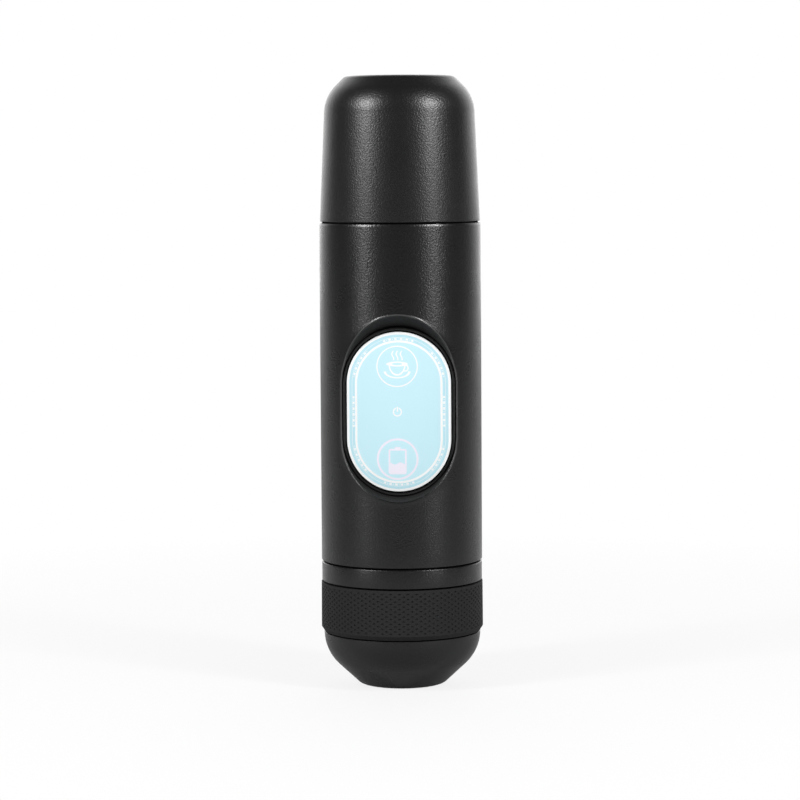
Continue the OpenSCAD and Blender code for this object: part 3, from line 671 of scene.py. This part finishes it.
# Faces sunk in the pocket, which get the painted shade
def inPocket(spot):
    near = abs(spot.z - panelMiddle) < straightHalf + pocketHalf + housing["flareTop"]
    sunk = math.hypot(spot.x, spot.y) < shellRadius - housing["pocketShadeFrom"]
    return near and sunk and spot.y < pocketY + tiny


# Crest of the lip, down to a little below the pocket's lower end, which gets the painted highlight
def onCrest(spot):
    above = spot.z - panelMiddle > -straightHalf - housing["crestDrop"]
    return above and math.hypot(spot.x, spot.y) > shellRadius + housing["crest"]


# Painted shade on the pocket's wall and flare
paint(shell, "pocket_painted_shade", inPocket)
# Painted highlight on the crest of the pocket's lip
paint(shell, "painted_rim_highlight", onCrest)
print("housing:", len(shell.data.polygons), "faces")

# Button, its film and the bezel: flat stadiums first, then curved to the crown
button = {
    "crown": 70 * mm, "gap": 0.55 * mm, "steps": 160, "cuts": 15, "edgeSteps": 4,
    "bezelDrop": 0.5 * mm, "bezelThick": 3 * mm, "bezelEdge": 0.4 * mm,
    "film": 0.25 * mm, "filmIn": 0.05 * mm, "filmEdge": 0.08 * mm, "thick": 2.2 * mm, "keyEdge": 0.3 * mm,
    "post": 2.5 * mm, "postEnd": -21.3 * mm, "pin": 1.6 * mm, "pinEnd": -16.1 * mm,
    "grooveFrom": -17.4 * mm, "grooveTo": -16.5 * mm,
}
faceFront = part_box("button_film")[0].y
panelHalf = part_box("button_panel")[1].x
filmHalf = panelHalf - button["filmIn"]


def crownPiece(name, half, drop, thick, edge, hole=None):
    front, steps = faceFront + drop, button["steps"]
    piece = stadiumPrism(name, half, front + thick, front, vertices=steps)
    if hole:
        core = stadiumPrism("core", hole, faceFront + 2 * thick, faceFront - 2 * thick, vertices=steps)
        carve(piece, [core])
    else:
        sliceAcross(piece, half, button["cuts"])
    edgeBevel(piece, edge, button["edgeSteps"])
    for vertex in piece.data.vertices:
        vertex.co.y += button["crown"] - math.sqrt(button["crown"] ** 2 - vertex.co.x ** 2)
    smooth(piece)
    return piece


bezel = crownPiece(
    "bezelRing", bezelHigh.x, button["bezelDrop"], button["bezelThick"], button["bezelEdge"],
    panelHalf + button["gap"],
)
settle(bezel, "housing", "bezel_black", ["button_bezel"])
key = crownPiece("buttonKey", panelHalf, button["film"], button["thick"], button["keyEdge"])
keyBack = faceFront + button["film"] + button["thick"] - inside["overlap"]
stems = [barPiece(button["post"], 0, panelMiddle, keyBack, button["postEnd"])]
for up in (-1, 1):
    at = panelMiddle + up * inside["pinUp"]
    neckFrom = button["grooveFrom"] - inside["overlap"]
    stems.append(barPiece(button["pin"], 0, at, keyBack, button["grooveFrom"]))
    stems.append(barPiece(button["pin"] / 2, 0, at, neckFrom, button["pinEnd"]))
    stems.append(barPiece(button["pin"], 0, at, button["grooveTo"], button["pinEnd"]))
carve(key, stems, "UNION")
smooth(key)
settle(key, "button", "button_white", ["button_panel"])
film = crownPiece("buttonFace", filmHalf, 0.0, button["film"], button["filmEdge"])

# Print on the film, in millimetres from the middle of the button: the frame and three signs
printed = {
    "blue": (0.60, 0.875, 0.96), "ringBlue": (0.53, 0.81, 0.90), "white": (0.96, 0.98, 0.98),
    "pink": (0.91, 0.885, 0.985), "rough": 0.42, "ior": 1.4, "stroke": 0.25, "shift": -0.5,
    "border": 0.95, "outerLine": (2.0, 0.06), "innerLine": (3.5, 0.42),
    "marks": 2.55, "pitch": 2.2, "dash": 0.5, "dashFlat": 1.4, "dot": 0.2, "groupHalf": 5.8,
    "markWhite": 0.9,
}
cupSign = {
    "at": 17.2, "ring": (7.6, 0.24), "half": 3.0, "brimAt": 0.9, "brimTall": 0.7, "deep": 4.1,
    "handleAt": (3.0, -0.6), "handle": 1.15, "handleFrom": 2.3, "saucerAt": -1.9, "saucer": (4.6, 2.4),
    "steam": (-1.6, 0.0, 1.6), "steamAt": 4.1, "steamHalf": 1.8, "waveFrom": 1.9, "waves": 1.7, "sway": 0.34,
}
switchSign = {"ring": 1.5, "open": 0.55, "barAt": 1.0, "barHalf": 0.95}
cellSign = {
    "at": -17.9, "ring": (7.5, 0.4), "bodyAt": -0.9, "half": (2.5, 3.9), "corner": 0.6, "line": 0.35,
    "capAt": 4.1, "cap": (1.1, 0.5), "charge": 2.9, "chargeTop": -1.6, "chargeLow": -5.2,
    "waves": 1.5, "sway": 0.4,
}


def ringLine(x, z, radius, thick):
    return abs(x.length(z) - radius) - thick


def ovalLine(x, z, wide, tall, thick):
    return abs((x / wide).length(z / tall) - 1.0) * min(wide, tall) - thick


def barMark(x, z, wide, tall):
    return (abs(x) - wide).most(abs(z) - tall)


def drawn(shapes):
    share = shapes[0].inside()
    for shape in shapes[1:]:
        share = share.most(shape.inside())
    return share


# Distance from the middle of the nearest of marks that repeat
def fromRepeat(along, pitch):
    return abs((along / pitch).join("FRACT") - 0.5) * pitch


def printFinish():
    material, graph, shader = newMaterial("filmPrint")
    place = graph.place()
    x = graph.axis(place, "X") / mm
    z = (graph.axis(place, "Z") - panelMiddle) / mm
    stroke = printed["stroke"]
    straight, half = straightHalf / mm, filmHalf / mm

    # Rounded frame: distance to the film's edge and two lines along it
    level = z.between(-straight, straight)
    over = z - level
    edge = x.length(over) - half
    shapes = [-printed["border"] - edge]
    for depth, thick in (printed["outerLine"], printed["innerLine"]):
        shapes.append(abs(edge + depth) - thick)

    # Dashes and dots between the lines, in groups
    markHalf = half - printed["marks"]
    lane = edge + printed["marks"]
    along = level + over.join("ARCTAN2", abs(x)) * markHalf
    step = fromRepeat(along, printed["pitch"])
    dash = step.most(abs(lane) * printed["dashFlat"]) - printed["dash"]
    dot = (step - printed["pitch"] / 2).length(lane) - printed["dot"]
    group = (straight + markHalf * math.pi / 2) / 2
    grouped = fromRepeat(along + group / 2, group) - printed["groupHalf"]
    marks = dash.least(dot).most(grouped).inside() * printed["markWhite"]

    # Steaming cup in a ring
    x = x - printed["shift"]
    up = z - cupSign["at"]
    brim, dish = up - cupSign["brimAt"], up - cupSign["saucerAt"]
    handleX, handleUp = cupSign["handleAt"]
    handle = ringLine(x - handleX, up - handleUp, cupSign["handle"], stroke)
    shapes += [
        ringLine(x, up, *cupSign["ring"]),
        ovalLine(x, brim, cupSign["half"], cupSign["brimTall"], stroke),
        ovalLine(x, brim, cupSign["half"], cupSign["deep"], stroke).most(brim),
        ovalLine(x, dish, *cupSign["saucer"], stroke).most(dish),
        handle.most(cupSign["handleFrom"] - x),
    ]
    wave = ((up - cupSign["waveFrom"]) * cupSign["waves"]).join("SINE") * cupSign["sway"]
    for side in cupSign["steam"]:
        shapes.append(barMark(x - wave - side, up - cupSign["steamAt"], stroke, cupSign["steamHalf"]))

    # Small switch sign in the middle
    openRing = ringLine(x, z, switchSign["ring"], stroke)
    shapes.append(openRing.most(switchSign["open"] - abs(x).most(-z)))
    shapes.append(barMark(x, z - switchSign["barAt"], stroke, switchSign["barHalf"]))
    white = drawn(shapes).most(marks)

    # Cell with its charge in a ring
    up = z - cellSign["at"]
    halfX, halfUp = cellSign["half"]
    beyondX, beyondUp = (abs(x) - halfX).most(0.0), (abs(up - cellSign["bodyAt"]) - halfUp).most(0.0)
    swell = (x * cellSign["waves"]).join("SINE") * cellSign["sway"]
    charge = (abs(x) - cellSign["charge"]).most(up - cellSign["chargeTop"] - swell)
    pink = drawn([
        ringLine(x, up, *cellSign["ring"]),
        ringLine(beyondX, beyondUp, cellSign["corner"], cellSign["line"]),
        barMark(x, up - cellSign["capAt"], *cellSign["cap"]),
        charge.most(cellSign["chargeLow"] - up),
    ])

    within = (edge + printed["innerLine"][0]).inside()
    field = graph.mixed(within, opaque(printed["ringBlue"]), opaque(printed["blue"]))
    colour = graph.mixed(pink, field, opaque(printed["pink"]))
    colour = graph.mixed(white, colour, opaque(printed["white"]))
    graph.fill(shader, {"Base Color": colour, "Roughness": printed["rough"], "IOR": printed["ior"]})
    return material


settle(film, "button", "film_blue", ["button_film"], printFinish())
print("button")

# Flap over the charging socket: a plate and a finger rib, curved to the housing, on a hinge barrel
flap = {
    "half": 5.5 * mm, "low": 135.8 * mm, "high": 148 * mm, "back": 28.85 * mm, "front": 30.7 * mm,
    "corner": 0.6 * mm, "edge": 0.25 * mm, "cuts": 11, "smooth": 35,
    "hinge": (29.55 * mm, 135.2 * mm), "barrel": 0.7 * mm, "barrelEdge": 0.12 * mm, "webIn": 0.3 * mm,
    "pin": 0.45 * mm, "pinHalf": 6.6 * mm,
    "ribHalf": 3 * mm, "ribLow": 145.9 * mm, "ribHigh": 146.8 * mm, "ribOut": 0.22 * mm,
    "ribEdge": 0.198 * mm,
}
plate = blockPiece(
    "usbFlap", (-flap["half"], flap["back"], flap["low"]), (flap["half"], flap["front"], flap["high"])
)
roundCorners(plate, flap["corner"], 5)
edgeBevel(plate, flap["edge"], 3)
rib = blockPiece(
    "rib", (-flap["ribHalf"], flap["front"] - flap["ribOut"], flap["ribLow"]),
    (flap["ribHalf"], flap["front"] + flap["ribOut"], flap["ribHigh"]),
)
edgeBevel(rib, flap["ribEdge"], 3)
for piece in (plate, rib):
    sliceAcross(piece, flap["half"], flap["cuts"])
    for vertex in piece.data.vertices:
        share = min(1.0, (vertex.co.y - flap["back"]) / (flap["front"] - flap["back"]))
        vertex.co.y -= share * (flap["front"] - math.sqrt(flap["front"] ** 2 - vertex.co.x ** 2))
hingeY, hingeZ = flap["hinge"]
web = blockPiece(
    "web", (-flap["half"], hingeY - flap["barrel"] / 2, hingeZ),
    (flap["half"], hingeY + flap["barrel"] / 2, flap["low"] + flap["webIn"]),
)
flapPieces = [plate, rib, web]
for radius, half in ((flap["barrel"], flap["half"]), (flap["pin"], flap["pinHalf"])):
    deselect()
    bpy.ops.mesh.primitive_cylinder_add(
        vertices=32, radius=radius, depth=2 * half, location=(0, hingeY, hingeZ),
        rotation=(0, math.pi / 2, 0),
    )
    barrel = bpy.context.object
    bpy.ops.object.transform_apply(location=True, rotation=True)
    edgeBevel(barrel, flap["barrelEdge"], 2)
    flapPieces.append(barrel)
joinPieces(flapPieces)
smooth(plate, flap["smooth"])
settle(plate, "usb_flap", "flap_rubber", ["usb_cover"])
print("flap")

# Charging socket: a drawn steel shell with a black tongue
port = {
    "wall": 0.3 * mm, "back": 1 * mm, "round": 1.55 * mm, "roundSteps": 10, "lip": 0.06 * mm,
    "tongueHalf": 3.27 * mm, "tongueThick": 0.7 * mm, "tongueIn": 1.2 * mm, "tongueEdge": 0.12 * mm,
}
portLow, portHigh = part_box("usb_port")
portMiddle = (portLow.z + portHigh.z) / 2
portWall, portBack = Vector((port["wall"], 0, port["wall"])), Vector((0, port["back"], 0))
can = blockPiece("portShell", portLow, portHigh)
mouth = blockPiece("mouth", portLow + portWall + portBack, portHigh - portWall + portBack)
roundCorners(can, port["round"], port["roundSteps"])
roundCorners(mouth, port["round"] - port["wall"], port["roundSteps"])
carve(can, [mouth])
edgeBevel(can, port["lip"], 2)
smooth(can)
settle(can, "housing", "steel", ["usb_port"])
tongue = blockPiece(
    "portTongue",
    (-port["tongueHalf"], portLow.y + port["back"] / 2, portMiddle - port["tongueThick"] / 2),
    (port["tongueHalf"], portHigh.y - port["tongueIn"], portMiddle + port["tongueThick"] / 2),
)
edgeBevel(tongue, port["tongueEdge"], 3)
smooth(tongue)
settle(tongue, "housing", "switch_black")
print("socket")

# Collar ring, which goes on inside as the coffee holder with its spout
collar = {
    "edge": 0.25 * mm, "topEdge": 0.4 * mm, "steps": 192, "spout": 3 * mm, "spoutWall": 2 * mm,
    "wall": 26.6 * mm, "rim": 24.9 * mm, "bore": 21.5 * mm, "ledge": 55.9 * mm, "funnel": 39.1 * mm,
    "drop": 2 * mm, "skirt": 33.7 * mm, "small": 0.3 * mm, "spoutRound": 1 * mm, "skirtRound": 0.6 * mm,
    "funnelRound": 0.8 * mm,
}
collarLow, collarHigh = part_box("brew_collar")
ringLow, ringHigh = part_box("cup_gasket")[1].z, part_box("collar_gasket")[0].z
spoutOuter = collar["spout"] + collar["spoutWall"]
collarCorners = [
    (collar["spout"], collarLow.z, collar["small"]), (spoutOuter, collarLow.z, collar["small"]),
    (spoutOuter, collar["skirt"], collar["spoutRound"]),
    (collar["wall"], collar["skirt"], collar["skirtRound"]),
    (collar["wall"], ringLow, 0), (collarHigh.x, ringLow, collar["edge"]),
    (collarHigh.x, ringHigh, collar["topEdge"]), (collar["wall"], ringHigh, 0),
    (collar["wall"], collarHigh.z, collar["small"]), (collar["rim"], collarHigh.z, collar["small"]),
    (collar["rim"], collar["ledge"], 0), (collar["bore"], collar["ledge"], collar["small"]),
    (collar["bore"], collar["funnel"], 0),
    (collar["spout"], collar["funnel"] - collar["drop"], collar["funnelRound"]),
]
collarBody = spinPiece("collarBody", roundedLine(collarCorners, True), True, collar["steps"])
settle(collarBody, "collar", "black_shell", ["brew_collar"])
print("collar")

# Cup bowl, with the seat of the rubber band
cup = {
    "slope": math.radians(43), "taper": 0.0, "edge": 4 * mm, "flank": 17 * mm, "round": 15.55 * mm,
    "radius": 30.2 * mm, "height": 20.7 * mm, "skin": 3 * mm, "groove": 0.225 * mm, "rim": 0.4 * mm,
    "seat": 0.9 * mm, "shoulder": 0.35 * mm, "seatShadeFrom": 0.1 * mm, "seatShadeTo": 0.15 * mm, "steps": 192,
}
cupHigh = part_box("cup_bowl")[1]
seatHeight = cup["height"] - cup["groove"]
seatRadius = cup["radius"] - cup["seat"]
outer = [(r, z, 0) for r, z in vesselSide(cup, cup["radius"], cup["height"], 0) if z < seatHeight]
inner = [(r, z, 0) for r, z in vesselSide(cup, cup["radius"], cup["height"], cup["skin"])]
mouthCorners = [
    (cup["radius"], seatHeight, cup["shoulder"]), (seatRadius, seatHeight, 0),
    (seatRadius, cupHigh.z, cup["rim"]), (cup["radius"] - cup["skin"], cupHigh.z, cup["rim"]),
]
cupLine = roundedLine(outer + mouthCorners + inner[::-1], False)
bowl = spinPiece("cupBowl", cupLine, False, cup["steps"])
settle(bowl, "cup", "black_shell", ["cup_bowl"])


# Ledge of the seat that shows in the groove under the band; it gets the near-black seal rubber finish as
# painted shade
def seatShade(spot):
    away = math.hypot(spot.x, spot.y)
    outside = seatRadius - cup["seatShadeFrom"] < away < cup["radius"] - cup["seatShadeTo"]
    return outside and spot.z > seatHeight - tiny


paint(bowl, "seal_rubber", seatShade)
print("cup")

# Knurled band: a flat grid of diamonds, pressed in, wrapped round and closed by a spun back
band = {
    "around": 60, "rows": 9, "plain": 0.4 * mm, "ridge": 0.4 * mm, "wall": 0.16 * mm, "pit": 0.3 * mm,
    "bevel": 1.6 * mm, "foot": 30.2 * mm, "inner": 29.35 * mm, "edge": 0.12 * mm, "draft": 0.1 * mm,
    "smooth": 22, "merge": 2e-6,
}
bandLow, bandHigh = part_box("grip_band")
bandFold = bandLow.z + band["bevel"]
knurlHigh = bandHigh.z - band["plain"]


def bandSkin(height):
    return bandHigh.x - band["draft"] * (height - bandFold) / (bandHigh.z - bandFold)


# How many faces each edge has
def edgeUses(piece):
    uses = {}
    for polygon in piece.data.polygons:
        for pair in polygon.edge_keys:
            uses[pair] = uses.get(pair, 0) + 1
    return uses


deselect()
bpy.ops.mesh.primitive_grid_add(x_subdivisions=band["around"], y_subdivisions=band["rows"], size=1)
grip = bpy.context.object
grip.name = "gripBand"
grip.scale = (fullTurn * bandHigh.x, knurlHigh - bandFold, 1)
bpy.ops.object.transform_apply(scale=True)
edit(True)
bpy.ops.mesh.select_all(action="SELECT")
bpy.ops.mesh.poke()
edit(False)
gridUses = edgeUses(grip)


def squareEdge(item):
    start, stop = (grip.data.vertices[i].co for i in item.vertices)
    level = min(abs(start.x - stop.x), abs(start.y - stop.y)) < 1e-7
    return level and gridUses[item.key] == 2


selectWhere(grip, squareEdge, "EDGE")
bpy.ops.mesh.dissolve_edges(use_verts=False)
edit(False)
selectWhere(grip, lambda item: len(item.vertices) == 4, "FACE")
bpy.ops.mesh.inset(thickness=band["ridge"], depth=0, use_individual=True)
bpy.ops.mesh.inset(thickness=band["wall"], depth=-band["pit"], use_individual=True)
bpy.ops.mesh.select_all(action="SELECT")
bpy.ops.mesh.subdivide(number_cuts=1)
edit(False)
for vertex in grip.data.vertices:
    turn = vertex.co.x / bandHigh.x
    height = vertex.co.y + (bandFold + knurlHigh) / 2
    radius = bandSkin(height) + vertex.co.z
    vertex.co = (radius * math.sin(turn), -radius * math.cos(turn), height)
backCorners = [
    (bandSkin(bandFold), bandFold, 0), (band["foot"], bandLow.z, 0),
    (band["inner"], bandLow.z, 0), (band["inner"], bandHigh.z, 0),
    (bandSkin(bandHigh.z), bandHigh.z, band["edge"]), (bandSkin(knurlHigh), knurlHigh, 0),
]
bandBack = spinPiece("bandBack", roundedLine(backCorners, False), False, 2 * band["around"])
joinPieces([grip, bandBack])
edit(True)
closeUp(band["merge"])
smooth(grip, band["smooth"])
settle(grip, "cup", "grip_rubber", ["grip_band"])
openEdges = sum(count != 2 for count in edgeUses(grip).values())
print("band:", len(grip.data.polygons), "faces,", openEdges, "open edges")

# Screw threads of tank, collar and cup: ridges wound round a wall, standing out of it to the crest
threads = {
    "neckThread": {
        "body": "housing", "slot": "inner_plastic", "wall": 27.48 * mm, "crest": 27.72 * mm,
        "low": 180.6 * mm, "pitch": 2.6 * mm, "turns": 2.0, "width": 1.5 * mm,
    },
    "tankThread": {
        "body": "tank", "slot": "black_shell", "wall": 28.3 * mm, "crest": 27.86 * mm,
        "low": 181.6 * mm, "pitch": 2.6 * mm, "turns": 2.0, "width": 1.5 * mm,
    },
    "holderThread": {
        "body": "collar", "slot": "black_shell", "wall": 26.6 * mm, "crest": 26.8 * mm,
        "low": 50.2 * mm, "pitch": 2.4 * mm, "turns": 2.2, "width": 1.3 * mm,
    },
    "skirtThread": {
        "body": "collar", "slot": "black_shell", "wall": 26.6 * mm, "crest": 26.85 * mm,
        "low": 35.0 * mm, "pitch": 2.2 * mm, "turns": 1.8, "width": 1.2 * mm,
    },
    "cupThread": {
        "body": "cup", "slot": "black_shell", "wall": 27.2 * mm, "crest": 26.97 * mm,
        "low": 34.2 * mm, "pitch": 2.2 * mm, "turns": 1.8, "width": 1.2 * mm,
    },
}
threadSteps = 96


def threadPiece(name, thread):
    wall, crest, low, turns = (thread[key] for key in ("wall", "crest", "low", "turns"))
    root = wall - (crest - wall) / 2  # sunk, so that no gap shows at the wall
    half, flat = thread["width"] / 2, thread["width"] / 6
    line = [
        (root, low - half), (wall, low - half), (crest, low - flat),
        (crest, low + flat), (wall, low + half), (root, low + half),
    ]
    piece = drawLine(name, line, True)
    bpy.ops.mesh.remove_doubles(threshold=1e-7)
    edit(False)
    screw = piece.modifiers.new("screw", "SCREW")
    screw.axis = "Z"
    screw.angle = fullTurn * turns
    screw.screw_offset = thread["pitch"] * turns
    screw.steps = screw.render_steps = int(threadSteps * turns)
    screw.use_smooth_shade = True
    applyAll(piece)
    edit(True)
    bpy.ops.mesh.select_all(action="SELECT")
    bpy.ops.mesh.fill_holes(sides=0)
    bpy.ops.mesh.select_all(action="SELECT")
    bpy.ops.mesh.normals_make_consistent(inside=False)
    edit(False)
    smooth(piece)
    return piece


for name, thread in threads.items():
    settle(threadPiece(name, thread), thread["body"], thread["slot"])
print("threads:", len(threads))

# Finishes of the pieces that keep their CAD shape
kept = 0
for part in frame["record"]["subparts"]:
    node = nodes[part["node"]]
    if not node.hide_render:
        node.data.materials.clear()
        node.data.materials.append(materials[part["material_slot"]])
        kept += 1
print("kept CAD pieces:", kept)

# Camera
view = {
    "at": (0.0400, -1.1213, 0.2023), "to": (-0.0004, 0, 0.1098), "lens": 131.4, "sensor": 36.0, "roll": -0.36,
}
bpy.ops.object.camera_add(location=view["at"])
camera = bpy.context.object
aim = (Vector(view["to"]) - Vector(view["at"])).to_track_quat("-Z", "Y")
camera.rotation_euler = (aim @ Quaternion((0, 0, 1), math.radians(view["roll"]))).to_euler()
camera.data.lens = view["lens"]
camera.data.sensor_width = view["sensor"]
bpy.context.scene.camera = camera
bpy.context.scene.view_settings.view_transform = "Standard"

# Lamps in pairs, left and right of the object
lamps = {
    "Strip": {"turn": 50, "away": 0.9, "height": 0.52, "size": (0.19, 0.74), "power": 3.75},
    "Low": {"turn": 50, "away": 0.9, "height": 0.07, "size": (0.19, 0.2), "power": 0.1},
    "Top": {"turn": 54, "away": 0.75, "height": 0.54, "size": (0.07, 0.07), "power": 2.4},
}
lampTarget = Vector((0, 0, 0.12))
for name, lamp in lamps.items():
    for side, way in (("left", -1), ("right", 1)):
        turn = math.radians(way * lamp["turn"])
        spot = Vector((lamp["away"] * math.sin(turn), -lamp["away"] * math.cos(turn), lamp["height"]))
        bpy.ops.object.light_add(type="AREA", location=spot)
        light = bpy.context.object
        light.name = side + name
        light.rotation_euler = (lampTarget - spot).to_track_quat("-Z", "Y").to_euler()
        light.data.shape = "RECTANGLE"
        light.data.size, light.data.size_y = lamp["size"]
        light.data.energy = lamp["power"]
print("lamps:", 2 * len(lamps))

# White behind the object and dim in front of it; the camera itself sees white
surround = {"front": 0.08, "behind": 2.5, "turnFrom": 0.45, "turnTo": 1.0}
world = bpy.context.scene.world or bpy.data.worlds.new("studio")
bpy.context.scene.world = world
world.use_nodes = True
graph = Graph(world.node_tree)
seen = graph.seen()
past = graph.axis(graph.place("Generated"), "Y") - surround["turnFrom"]
behind = (past / (surround["turnTo"] - surround["turnFrom"])).between(0.0, 1.0)
level = behind * (surround["behind"] - surround["front"]) + surround["front"]
sky = {"Color": grey(1.0), "Strength": (1.0 - seen) * level + seen}
graph.fill(world.node_tree.nodes["Background"], sky)

# Pale floor, darker in front for what the object mirrors; it lets the camera through to what is below and
# keeps some of the shadow
ground = {
    "size": 6, "colour": 0.86, "rough": 0.8, "front": 0.45, "behind": 1.0, "turn": 0.25, "near": 0.8,
    "reach": 0.45,
}
deselect()
bpy.ops.mesh.primitive_plane_add(size=ground["size"])
floor = bpy.context.object
floor.name = "floor"
material, graph, shader = newMaterial("paleFloor")
seen, place = graph.seen(), graph.place()
behind = (graph.axis(place, "Y") / ground["turn"]).between(0.0, 1.0)
mirrored = graph.mixed(behind, grey(ground["front"]), grey(ground["behind"]))
away = graph.node("ShaderNodeVectorMath", {"operation": "LENGTH"}, {0: place}, "Value")
share = (away / ground["reach"]).between(0.0, 1.0) * (1.0 - ground["near"]) + ground["near"]
graph.fill(shader, {
    "Base Color": graph.mixed(seen, mirrored, grey(ground["colour"])),
    "Roughness": ground["rough"],
    "Alpha": 1.0 - seen * share,
})
floor.data.materials.append(material)
